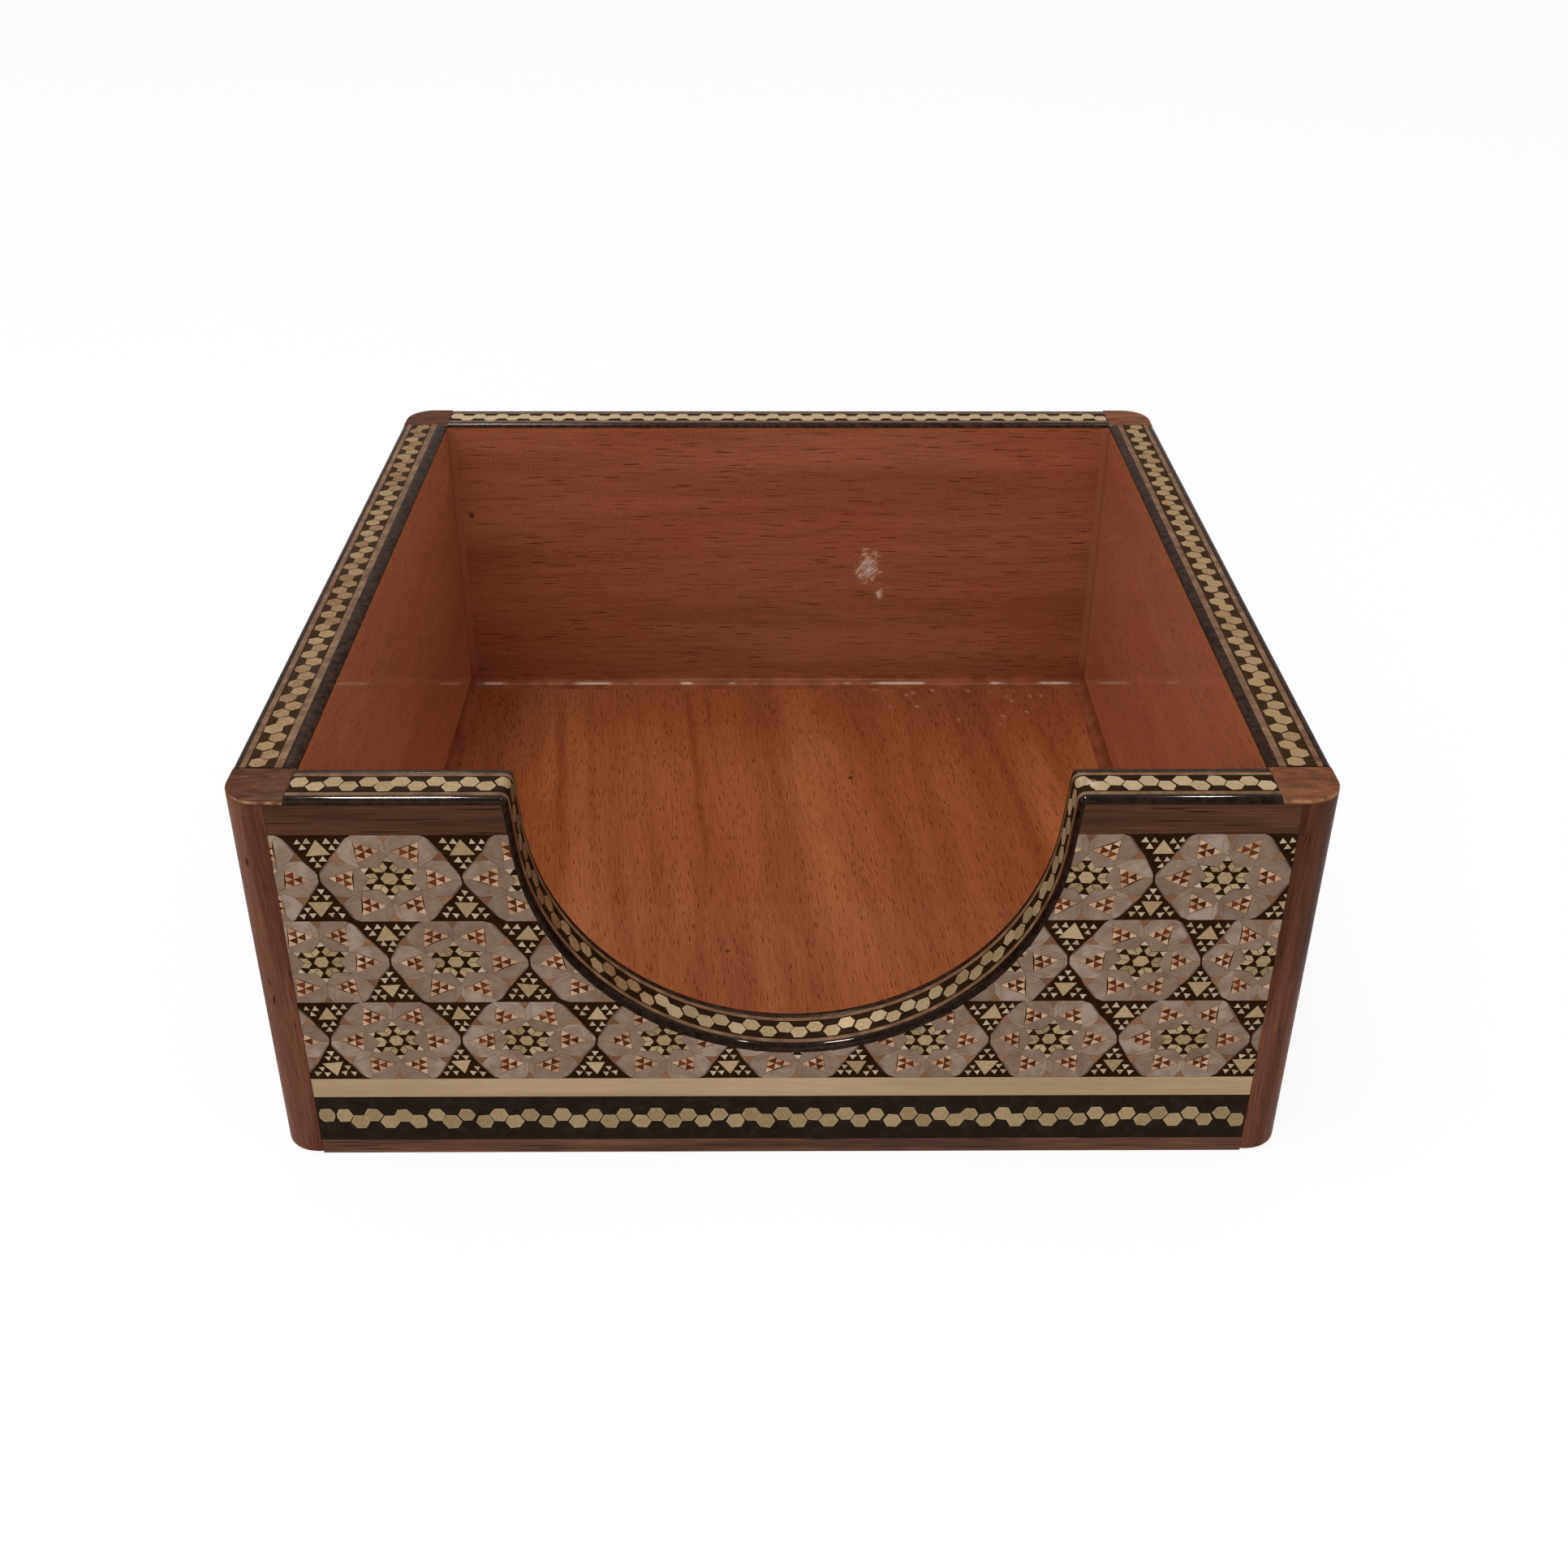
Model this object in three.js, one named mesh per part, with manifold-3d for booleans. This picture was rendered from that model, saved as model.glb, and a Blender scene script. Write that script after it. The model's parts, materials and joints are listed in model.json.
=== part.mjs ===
// Square marquetry napkin holder: an open wooden box with a round finger cut-out in its front wall.
// Millimetres, +Z up, front towards -Y, origin on the table under the middle of the box.
import * as THREE from "three";
import { mergeVertices } from "three/addons/utils/BufferGeometryUtils.js";
import Module from "manifold-3d";

// Driving dimensions of the box
const boxWidth = 150; // outside, left to right
const boxDepth = 150; // outside, front to back
const boxHeight = 62.4; // table to the top of the rim
const coreThickness = 6.7; // beech board of each wall
const skinThickness = 2; // veneers and inlays glued to the outside of a wall
const glueGap = 0.05; // glue line between two pieces

// Base board, held by a tongue in grooves round the four walls
const floorHeight = 3.5; // table to the top of the base board
const tongueReach = 2; // how far the tongue runs into a wall
const tongueThickness = 1.4;
const tongueHeight = 1; // table to the underside of the tongue
const grooveClearance = 0.15; // room round the tongue in its groove

// Corner posts, with a rounded outer edge
const postWidth = 6;
const postRadius = 5.2;

// Bands on the outside of a wall; the mosaic fills the height that the others leave
const bottomStripHeight = 2.6;
const hexagonBandHeight = 8.4;
const creamStripeHeight = 3.5;
const topStripHeight = 4.65;

// Rim edging, laid on the walls as three strips side by side
const rimThickness = 0.7;
const outerBeadWidth = 1.7;
const chainBandWidth = 4.85;

// Finger cut-out: part of a circle with straight sides, edged with the same three strips
const cutoutSides = 5.1; // from the circle's centre up to the top of the rim
const cutoutLean = (5.2 * Math.PI) / 180; // the straight sides lean outwards by this angle
const cutoutSill = 4.7; // mosaic left standing under the edging
const cutoutEdging = 0.7; // thickness of the strips round the opening
const cutoutOffset = 1.3; // the opening sits this far right of the middle
const arcSteps = 64; // facets round the arc
const edgeSteps = 8; // facets round a post's edge

// Sizes that follow from the ones above
const wallThickness = coreThickness + skinThickness;
const wallTop = boxHeight - rimThickness;
const wellWidth = boxWidth - 2 * wallThickness;
const wellDepth = boxDepth - 2 * wallThickness;
const cutOvershoot = wallThickness; // a cutting shape runs this far past the faces it cuts

// Lower edges of the bands above the table; each one rests on the band below
const hexagonBandFoot = bottomStripHeight;
const creamStripeFoot = hexagonBandFoot + hexagonBandHeight;
const mosaicFoot = creamStripeFoot + creamStripeHeight;
const topStripFoot = wallTop - topStripHeight;

// The circle reaches from its centre down to the sill
const cutoutCentreHeight = boxHeight - cutoutSides;
const wallCutRadius = cutoutCentreHeight - mosaicFoot - cutoutSill;
const cutoutRadius = wallCutRadius - cutoutEdging; // clear opening

// Colours and finishes
const beech = { color: 0x7d4327, roughness: 0.35, metalness: 0 };
const walnut = { color: 0x573626, roughness: 0.4, metalness: 0 };
const mosaic = { color: 0x8f8478, roughness: 0.35, metalness: 0 };
const creamWood = { color: 0xa98f69, roughness: 0.4, metalness: 0 };
const blackWood = { color: 0x241f1a, roughness: 0.3, metalness: 0 };
const brassInlay = { color: 0x8a7850, roughness: 0.35, metalness: 0.4 };

const wasm = await Module();
wasm.setup();

const holder = new THREE.Group();

function addPiece(group, name, geometry, finish) {
  const mesh = new THREE.Mesh(geometry, new THREE.MeshStandardMaterial(finish));
  mesh.name = name;
  group.add(mesh);
}

// A rectangular bar between two opposite corners
function bar(lowX, highX, lowY, highY, lowZ, highZ) {
  const geometry = new THREE.BoxGeometry(highX - lowX, highY - lowY, highZ - lowZ);
  return geometry.translate((lowX + highX) / 2, (lowY + highY) / 2, (lowZ + highZ) / 2);
}

// An outline drawn in plan and raised from one height to another
function raise(outline, lowZ, highZ, steps) {
  const geometry = new THREE.ExtrudeGeometry(outline, {
    depth: highZ - lowZ,
    bevelEnabled: false,
    curveSegments: steps,
  });
  return geometry.translate(0, 0, lowZ);
}

// An outline drawn on the front face and run backwards through the wall
function runBack(outline, lowY, highY) {
  const geometry = new THREE.ExtrudeGeometry(outline, {
    depth: highY - lowY,
    bevelEnabled: false,
    curveSegments: arcSteps,
  });
  return geometry.rotateX(Math.PI / 2).translate(0, highY, 0);
}

function solidOf(geometry) {
  const bare = geometry.clone();
  bare.deleteAttribute("normal");
  bare.deleteAttribute("uv");
  const merged = mergeVertices(bare);
  return new wasm.Manifold(
    new wasm.Mesh({
      numProp: 3,
      vertProperties: Float32Array.from(merged.attributes.position.array),
      triVerts: Uint32Array.from(merged.index.array),
    }),
  );
}

function geometryOf(solid) {
  const mesh = solid.getMesh();
  const geometry = new THREE.BufferGeometry();
  geometry.setAttribute("position", new THREE.BufferAttribute(mesh.vertProperties, 3));
  geometry.setIndex(new THREE.BufferAttribute(mesh.triVerts, 1));
  geometry.computeVertexNormals();
  return geometry;
}

function cut(geometry, ...tools) {
  const left = tools.reduce((solid, tool) => solid.subtract(solidOf(tool)), solidOf(geometry));
  return geometryOf(left);
}

// Base board: a plate that fills the well, with a tongue all round
const plate = bar(
  -wellWidth / 2 + glueGap,
  wellWidth / 2 - glueGap,
  -wellDepth / 2 + glueGap,
  wellDepth / 2 - glueGap,
  0,
  floorHeight,
);
const tongueSpanX = wellWidth / 2 + tongueReach;
const tongueSpanY = wellDepth / 2 + tongueReach;
const tongueTop = tongueHeight + tongueThickness;
const tongue = bar(-tongueSpanX, tongueSpanX, -tongueSpanY, tongueSpanY, tongueHeight, tongueTop);
addPiece(holder, "base_board", geometryOf(solidOf(plate).add(solidOf(tongue))), beech);

// The groove is the tongue with its clearance, in the frame of a side turned by a number of quarters
function groove(turned) {
  const spanX = (turned ? tongueSpanY : tongueSpanX) + grooveClearance;
  const spanY = (turned ? tongueSpanX : tongueSpanY) + grooveClearance;
  return bar(-spanX, spanX, -spanY, spanY, tongueHeight - grooveClearance, tongueTop + grooveClearance);
}

// A straight side runs on from the arc; this is how far it stands from the cut-out's middle at a height
function sideReach(radius, height) {
  return radius / Math.cos(cutoutLean) + (height - cutoutCentreHeight) * Math.tan(cutoutLean);
}

// The arc ends where the straight sides touch it
const arcLeft = Math.PI + cutoutLean;
const arcRight = 2 * Math.PI - cutoutLean;

// The part of a wall that the cut-out takes away, edging included
function cutoutTool(reach) {
  const top = boxHeight + cutOvershoot;
  const topReach = sideReach(wallCutRadius, top);
  const outline = new THREE.Shape();
  outline.absarc(cutoutOffset, cutoutCentreHeight, wallCutRadius, arcLeft, arcRight, false);
  outline.lineTo(cutoutOffset + topReach, top);
  outline.lineTo(cutoutOffset - topReach, top);
  return runBack(outline, -reach - cutOvershoot, -reach + wallThickness + cutOvershoot);
}

// Front and back boards run between the posts, and side boards lap over their ends
function throughBoard(length, reach) {
  const half = length / 2 - postWidth - glueGap;
  return bar(-half, half, -reach + skinThickness, -reach + wallThickness, 0, wallTop);
}

function lappedBoard(length, reach) {
  const outerHalf = length / 2 - postWidth - glueGap;
  const innerHalf = length / 2 - wallThickness - glueGap;
  const lapFace = -reach + postWidth;
  const outline = new THREE.Shape();
  outline.moveTo(-outerHalf, -reach + skinThickness);
  outline.lineTo(outerHalf, -reach + skinThickness);
  outline.lineTo(outerHalf, lapFace);
  outline.lineTo(innerHalf, lapFace);
  outline.lineTo(innerHalf, -reach + wallThickness);
  outline.lineTo(-innerHalf, -reach + wallThickness);
  outline.lineTo(-innerHalf, lapFace);
  outline.lineTo(-outerHalf, lapFace);
  return raise(outline, 0, wallTop, 1);
}

// One band on the outside of a side, between two heights
function skin(lowX, highX, reach, foot, head) {
  return bar(lowX, highX, -reach, -reach + skinThickness - glueGap, foot, head - glueGap);
}

// Rim strips lie side by side across the wall's top
const rimStrips = [
  { name: "outer_bead", near: 0, far: outerBeadWidth - glueGap, finish: blackWood },
  {
    name: "chain_band",
    near: outerBeadWidth,
    far: outerBeadWidth + chainBandWidth - glueGap,
    finish: brassInlay,
  },
  { name: "inner_bead", near: outerBeadWidth + chainBandWidth, far: wallThickness, finish: blackWood },
];

function straightRun(length, reach, strip) {
  const half = length / 2 - wallThickness - glueGap;
  return bar(-half, half, -reach + strip.near, -reach + strip.far, wallTop + glueGap, boxHeight);
}

// At the cut-out's top corners the edging and the rim meet in a mitre
function mitreReach(height) {
  const climb = (height - wallTop) / rimThickness;
  const foot = sideReach(wallCutRadius, wallTop);
  return foot + climb * (sideReach(cutoutRadius, boxHeight) - foot);
}

// The rim beside the cut-out; direction is -1 on the left and 1 on the right
function cornerRun(length, reach, strip, direction) {
  const blockFace = direction * (length / 2 - wallThickness - glueGap);
  const underside = wallTop + glueGap;
  const lowMitre = cutoutOffset + direction * (mitreReach(underside) + glueGap);
  const highMitre = cutoutOffset + direction * (mitreReach(boxHeight) + glueGap);
  const outline = new THREE.Shape();
  outline.moveTo(blockFace, underside);
  outline.lineTo(lowMitre, underside);
  outline.lineTo(highMitre, boxHeight);
  outline.lineTo(blockFace, boxHeight);
  return runBack(outline, -reach + strip.near, -reach + strip.far);
}

function cutoutRun(reach, strip) {
  const outerRadius = wallCutRadius - glueGap;
  const footReach = sideReach(outerRadius, wallTop);
  const topReach = sideReach(cutoutRadius, boxHeight);
  const outline = new THREE.Shape();
  outline.absarc(cutoutOffset, cutoutCentreHeight, outerRadius, arcLeft, arcRight, false);
  outline.lineTo(cutoutOffset + footReach, wallTop);
  outline.lineTo(cutoutOffset + topReach, boxHeight);
  outline.absarc(cutoutOffset, cutoutCentreHeight, cutoutRadius, arcRight, arcLeft, true);
  outline.lineTo(cutoutOffset - topReach, boxHeight);
  outline.lineTo(cutoutOffset - footReach, wallTop);
  return runBack(outline, -reach + strip.near, -reach + strip.far);
}

// Four sides, each built facing -Y and turned into its place
const sides = [
  { name: "front", length: boxWidth, reach: boxDepth / 2, quarters: 0 },
  { name: "right", length: boxDepth, reach: boxWidth / 2, quarters: 1 },
  { name: "back", length: boxWidth, reach: boxDepth / 2, quarters: 2 },
  { name: "left", length: boxDepth, reach: boxWidth / 2, quarters: 3 },
];

for (const { name, length, reach, quarters } of sides) {
  const side = new THREE.Group();
  side.rotation.z = (quarters * Math.PI) / 2;
  holder.add(side);

  const isFront = name === "front";
  const isLapped = quarters % 2 === 1;
  const board = isLapped ? lappedBoard(length, reach) : throughBoard(length, reach);
  const boardTools = isFront ? [groove(isLapped), cutoutTool(reach)] : [groove(isLapped)];
  addPiece(side, `${name}_wall`, cut(board, ...boardTools), beech);

  const half = length / 2 - postWidth - glueGap;
  addPiece(side, `${name}_bottom_strip`, skin(-half, half, reach, 0, hexagonBandFoot), walnut);
  const hexagonBand = skin(-half, half, reach, hexagonBandFoot, creamStripeFoot);
  addPiece(side, `${name}_hexagon_band`, hexagonBand, blackWood);
  addPiece(side, `${name}_cream_stripe`, skin(-half, half, reach, creamStripeFoot, mosaicFoot), creamWood);

  const panel = skin(-half, half, reach, mosaicFoot, topStripFoot);
  addPiece(side, `${name}_mosaic_panel`, isFront ? cut(panel, cutoutTool(reach)) : panel, mosaic);

  if (isFront) {
    const leftStrip = skin(-half, cutoutOffset, reach, topStripFoot, wallTop + glueGap);
    const rightStrip = skin(cutoutOffset, half, reach, topStripFoot, wallTop + glueGap);
    addPiece(side, "front_left_top_strip", cut(leftStrip, cutoutTool(reach)), walnut);
    addPiece(side, "front_right_top_strip", cut(rightStrip, cutoutTool(reach)), walnut);
    for (const strip of rimStrips) {
      const leftRun = cornerRun(length, reach, strip, -1);
      const rightRun = cornerRun(length, reach, strip, 1);
      addPiece(side, `rim_front_left_${strip.name}`, leftRun, strip.finish);
      addPiece(side, `rim_front_right_${strip.name}`, rightRun, strip.finish);
      addPiece(side, `rim_cutout_${strip.name}`, cutoutRun(reach, strip), strip.finish);
    }
  } else {
    const topStrip = skin(-half, half, reach, topStripFoot, wallTop + glueGap);
    addPiece(side, `${name}_top_strip`, topStrip, walnut);
    for (const strip of rimStrips) {
      addPiece(side, `rim_${name}_${strip.name}`, straightRun(length, reach, strip), strip.finish);
    }
  }
}

// A square in plan with its outer corner rounded, drawn for the corner at low X and low Y
function cornerOutline(width) {
  const radius = Math.min(postRadius, width);
  const outline = new THREE.Shape();
  outline.moveTo(width, 0);
  outline.lineTo(width, width);
  outline.lineTo(0, width);
  outline.lineTo(0, radius);
  outline.absarc(radius, radius, radius, Math.PI, 1.5 * Math.PI, false);
  return outline;
}

// Posts stand in the corners with a small rim block on each
const corners = [
  { name: "front_left", x: -boxWidth / 2, y: -boxDepth / 2, quarters: 0 },
  { name: "front_right", x: boxWidth / 2, y: -boxDepth / 2, quarters: 1 },
  { name: "back_right", x: boxWidth / 2, y: boxDepth / 2, quarters: 2 },
  { name: "back_left", x: -boxWidth / 2, y: boxDepth / 2, quarters: 3 },
];

for (const { name, x, y, quarters } of corners) {
  const corner = new THREE.Group();
  corner.position.set(x, y, 0);
  corner.rotation.z = (quarters * Math.PI) / 2;
  holder.add(corner);
  const post = raise(cornerOutline(postWidth), 0, wallTop, edgeSteps);
  const rimBlock = raise(cornerOutline(wallThickness), wallTop + glueGap, boxHeight, edgeSteps);
  addPiece(corner, `corner_post_${name}`, post, walnut);
  addPiece(corner, `rim_block_${name}`, rimBlock, walnut);
}

export default holder;
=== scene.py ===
import bisect
import json
import math
import random

import bpy
from mathutils import Matrix, Vector

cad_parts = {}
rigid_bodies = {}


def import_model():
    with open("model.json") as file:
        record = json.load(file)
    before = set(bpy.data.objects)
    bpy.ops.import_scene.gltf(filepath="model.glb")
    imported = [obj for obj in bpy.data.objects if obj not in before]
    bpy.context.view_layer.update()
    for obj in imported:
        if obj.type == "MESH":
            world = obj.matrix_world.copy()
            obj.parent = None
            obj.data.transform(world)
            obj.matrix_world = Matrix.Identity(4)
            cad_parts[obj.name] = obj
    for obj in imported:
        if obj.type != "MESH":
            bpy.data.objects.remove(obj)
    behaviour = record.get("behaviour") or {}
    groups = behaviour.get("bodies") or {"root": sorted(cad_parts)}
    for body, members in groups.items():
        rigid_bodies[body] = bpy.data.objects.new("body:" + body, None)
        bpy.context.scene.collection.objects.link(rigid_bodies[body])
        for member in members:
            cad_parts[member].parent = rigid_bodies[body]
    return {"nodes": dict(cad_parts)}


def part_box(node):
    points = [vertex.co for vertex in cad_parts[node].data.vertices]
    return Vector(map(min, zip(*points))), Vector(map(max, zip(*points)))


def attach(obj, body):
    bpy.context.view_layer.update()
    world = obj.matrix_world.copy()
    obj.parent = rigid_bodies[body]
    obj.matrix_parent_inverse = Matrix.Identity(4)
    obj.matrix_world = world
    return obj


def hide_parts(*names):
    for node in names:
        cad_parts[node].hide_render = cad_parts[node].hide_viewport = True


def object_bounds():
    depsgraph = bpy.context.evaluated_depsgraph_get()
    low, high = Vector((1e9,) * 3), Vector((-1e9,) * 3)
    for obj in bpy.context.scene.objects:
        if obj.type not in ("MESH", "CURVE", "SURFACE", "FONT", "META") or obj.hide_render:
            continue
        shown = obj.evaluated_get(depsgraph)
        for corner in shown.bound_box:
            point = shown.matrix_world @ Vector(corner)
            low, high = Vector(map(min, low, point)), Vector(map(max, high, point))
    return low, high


for leftover in list(bpy.data.objects):
    bpy.data.objects.remove(leftover)
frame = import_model()
cad_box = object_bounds()
nodes = frame["nodes"]


# The base board: one beech board that fills the foot of the well, with its grain from front to back.
# It is stained reddish brown and finished with the same clear lacquer as the rest of the box.
# Its tongue is glued into grooves round the four walls.
PER_MM = 1000.0  # object coordinates are metres, and the patterns below are written in millimetres
GRAIN_ORDER = {"X": "XYZ", "Y": "YXZ", "Z": "ZXY"}  # puts the grain's own axis first
# Dark streaks along the grain: (distance from the middle, half width, near end, far end, strength).
STREAKS = ((-13.6, 1.2, -2, 64, 0.32), (-9.5, 0.8, 28, 66, 0.16), (-40.5, 1.6, -6, 58, 0.28), (-34.5, 1.5, 6, 56, 0.2),
           (-51.0, 3.4, 10, 66, 0.14), (31.0, 2.5, -10, 40, 0.12), (48.0, 2.0, 0, 66, 0.15))
STREAK_WANDER, NEAR_BLUR, FAR_BLUR = 2.4, 12, 6
FLOOR_SPECKS = ((14.2, 27.2, 0.75), (-9.2, -29.8, 0.55))  # x, y, radius


def tone(red, green, blue):
    """A colour picked on screen, as the linear values that a socket takes."""
    screen = [value / 255 for value in (red, green, blue)]
    return [v / 12.92 if v <= 0.04045 else ((v + 0.055) / 1.055) ** 2.4 for v in screen] + [1.0]


def is_socket(value):
    return isinstance(value, bpy.types.NodeSocket)


def add(owner, kind, inputs=None, **settings):
    """A new node in the tree that the owner belongs to: the tree itself, a node or a socket."""
    tree = owner.id_data
    made = tree.nodes.new("ShaderNode" + kind)
    for name, value in settings.items():
        setattr(made, name, value)
    for name, value in (inputs or {}).items():
        if is_socket(value):
            tree.links.new(value, made.inputs[name])
        else:
            made.inputs[name].default_value = value
    return made


def link(value, socket):
    socket.id_data.links.new(value, socket)


def calc(operation, first, second=0.0, clamp=False):
    owner = first if is_socket(first) else second
    return add(owner, "Math", {0: first, 1: second}, operation=operation, use_clamp=clamp).outputs[0]


def times(first, *others):
    for other in others:
        first = calc("MULTIPLY", first, other)
    return first


def fade(value, start, end, low=0.0, high=1.0):
    """Runs smoothly from low to high while value goes from start to end."""
    inputs = {"Value": value, "From Min": start, "From Max": end, "To Min": low, "To Max": high}
    return add(value, "MapRange", inputs, interpolation_type="SMOOTHSTEP").outputs[0]


def mix(factor, first, second, blend_type="MIX"):
    owner = next(value for value in (factor, first, second) if is_socket(value))
    made = add(owner, "Mix", {0: factor, 6: first, 7: second}, data_type="RGBA", blend_type=blend_type)
    return made.outputs[2]


def vector_calc(operation, first, second=(0, 0, 0), output="Vector"):
    return add(first, "VectorMath", {0: first, 1: second}, operation=operation).outputs[output]


def stretch(vector, x, y, z):
    return vector_calc("MULTIPLY", vector, (x, y, z))


def split(vector):
    return add(vector, "SeparateXYZ", {0: vector}).outputs


def join(**parts):
    return add(next(iter(parts.values())), "CombineXYZ", parts).outputs[0]


def noise(vector, scale, detail=2.0, roughness=0.5, distortion=0.0):
    inputs = {"Vector": vector, "Scale": scale, "Detail": detail, "Roughness": roughness}
    return add(vector, "TexNoise", {**inputs, "Distortion": distortion}).outputs["Fac"]


def cell_distance(vector, scale):
    return add(vector, "TexVoronoi", {"Vector": vector, "Scale": scale}).outputs["Distance"]


def effect_group(name, inputs, outputs):
    tree = bpy.data.node_groups.new(name, "ShaderNodeTree")
    for label, value in inputs.items():
        kind = "NodeSocketVector" if value is None else "NodeSocketFloat"
        socket = tree.interface.new_socket(label, in_out="INPUT", socket_type=kind)
        if value is not None:
            socket.default_value = value
    for label in outputs:
        tree.interface.new_socket(label, in_out="OUTPUT", socket_type="NodeSocketFloat")
    return tree, tree.nodes.new("NodeGroupInput").outputs, tree.nodes.new("NodeGroupOutput").inputs


def place(group, **inputs):
    """Puts an effect into a material with its own values."""
    named = {label.replace("_", " "): value for label, value in inputs.items()}
    return add(inputs["Vector"], "Group", named, node_tree=group).outputs


# Long grain: a broad figure that changes slowly along the board, and fine fibres.
wood_grain, given, put = effect_group(
    "wood grain", {"Vector": None, "Figure Width": 9.0, "Fibre Width": 0.35, "Waviness": 1.0}, ["Figure", "Fibres"])
FULL_BEND = 26.0  # millimetres sideways at a waviness of 1
bend = noise(stretch(given["Vector"], 0.02, 0.05, 0.05), 1.0)
bend = times(calc("SUBTRACT", bend, 0.5), FULL_BEND, given["Waviness"])
shifted = vector_calc("ADD", given["Vector"], join(Y=bend))
for label, width, width_to_length, detail, roughness in (
        ("Figure", "Figure Width", 0.07, 4.0, 0.6), ("Fibres", "Fibre Width", 0.035, 3.0, 0.55)):
    across = calc("DIVIDE", 1.0, given[width])
    scaled = vector_calc("MULTIPLY", shifted, join(X=times(across, width_to_length), Y=across, Z=across))
    link(noise(scaled, 1.0, detail, roughness), put[label])

# Flecks: short dark dashes along the grain, each with a strength of its own.
wood_flecks, given, put = effect_group(
    "wood flecks", {"Vector": None, "Length": 9.0, "Width": 0.9, "Share": 0.6}, ["Mask"])
parts = split(given["Vector"])
along = calc("DIVIDE", parts["X"], given["Length"])
across = calc("DIVIDE", calc("ADD", parts["Y"], parts["Z"]), given["Width"])
along = calc("ADD", along, times(noise(join(Y=across), 0.8, 1.0), 7.0))  # staggers the rows
cells = {"Vector": join(X=along, Y=across), "Scale": 1.0}
cells = add(wood_flecks, "TexVoronoi", cells, voronoi_dimensions="2D").outputs
lot = add(wood_flecks, "SeparateColor", {0: cells["Color"]}).outputs[0]
lot = calc("SUBTRACT", calc("ADD", lot, given["Share"]), 1.0, clamp=True)
lot = calc("DIVIDE", lot, given["Share"], clamp=True)
link(times(fade(cells["Distance"], 0.27, 0.16), lot), put["Mask"])

# Lacquer film: slow brush waves and dust nibs in the clear coat, and patches that were rubbed duller.
lacquer_film, given, put = effect_group("lacquer film", {"Vector": None, "Wave": 2.5}, ["Height", "Dullness"])
waves = {0: given["Vector"], "Scale": calc("DIVIDE", 1.0, given["Wave"])}
waves = add(lacquer_film, "VectorMath", waves, operation="SCALE").outputs[0]
nibs_and_glints = fade(cell_distance(given["Vector"], 0.35), 0.11, 0.02, 0.0, 0.6)
link(calc("ADD", noise(waves, 1.0, 2.0, 0.45), nibs_and_glints), put["Height"])
link(noise(given["Vector"], 0.09, 3.0, 0.6), put["Dullness"])


def in_mm(owner):
    """Object coordinates in millimetres."""
    return stretch(add(owner, "TexCoord").outputs["Object"], PER_MM, PER_MM, PER_MM)


def grain_vector(owner, axis):
    """Object coordinates in millimetres, turned so that the grain runs along X."""
    parts = split(in_mm(owner))
    return join(**{label: parts[source] for label, source in zip("XYZ", GRAIN_ORDER[axis])})


def lacquered(name, roughness, coat, coat_roughness, specular=0.06):
    """An empty material with a clear coat; the caller fills in what changes over the surface."""
    material = bpy.data.materials.new(name)
    material.use_nodes = True
    shader = material.node_tree.nodes["Principled BSDF"]
    shader.inputs["Roughness"].default_value = roughness
    shader.inputs["Coat Weight"].default_value = coat
    shader.inputs["Coat Roughness"].default_value = coat_roughness
    shader.inputs["Specular IOR Level"].default_value = specular
    shader.inputs["Specular Tint"].default_value = tone(255, 226, 202)
    return material, shader


def paint(shader, colour):
    link(colour, shader.inputs["Base Color"])


def wear_film(shader, vector, low, high, bump=0.0, wave=2.5):
    """Lets the lacquer film change the roughness, and the normal where bump is above 0."""
    film = place(lacquer_film, Vector=vector, Wave=wave)
    link(fade(film["Dullness"], 0.35, 0.7, low, high), shader.inputs["Roughness"])
    if bump:
        bumps = add(shader, "Bump", {"Strength": bump, "Distance": 0.0002, "Height": film["Height"]})
        link(bumps.outputs[0], shader.inputs["Normal"])


def shaded(colour, value):
    """Darkens or lightens a colour evenly."""
    grey = add(colour, "CombineColor", {0: value, 1: value, 2: value}).outputs[0]
    return mix(1.0, colour, grey, "MULTIPLY")


def deepened(colour, mask, stain):
    """Stains a colour where the mask is."""
    return mix(mask, colour, mix(1.0, colour, tone(*stain), "MULTIPLY"))


def beech(name, axis, pale, dark, red, fleck_length, fleck_width, fleck_share, figure=9.0, slant=0.0, coat=0.8,
          specular=0.03, fleck=(124, 92, 74)):
    material, shader = lacquered(name, 0.42, coat, 0.05, specular)
    vector = grain_vector(shader, axis)
    vector = vector_calc("ADD", vector, join(Y=times(split(vector)["X"], slant)))
    grain = place(wood_grain, Vector=vector, Figure_Width=figure, Fibre_Width=0.3, Waviness=0.12)
    flecks = place(wood_flecks, Vector=vector, Length=fleck_length, Width=fleck_width, Share=fleck_share)
    patches = fade(noise(stretch(vector, 0.02, 0.04, 0.04), 1.0), 0.35, 0.65)
    grit = noise(stretch(vector, 0.5, 1.0, 1.0), 4.0, 2.0, 0.6)
    colour = mix(fade(grain["Figure"], 0.3, 0.72), tone(*dark), tone(*pale))
    colour = mix(times(patches, 0.55), colour, tone(*red))
    colour = shaded(colour, fade(grain["Fibres"], 0.3, 0.7, 0.9, 1.06))
    colour = shaded(colour, fade(grit, 0.25, 0.75, 0.84, 1.16))
    colour = deepened(colour, flecks["Mask"], fleck)
    wear_film(shader, vector, 0.34, 0.5, bump=0.04, wave=3.5)
    return material, shader, colour, vector


def speck(colour, centre, radius, picked):
    """A small dark spot in the wood, at a place in millimetres."""
    here = in_mm(colour)
    far = calc("ADD", vector_calc("DISTANCE", here, centre, "Value"), times(noise(here, 1.5), radius))
    return mix(fade(far, radius * 1.6, radius * 0.8, 0.0, 0.8), colour, tone(*picked))


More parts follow.
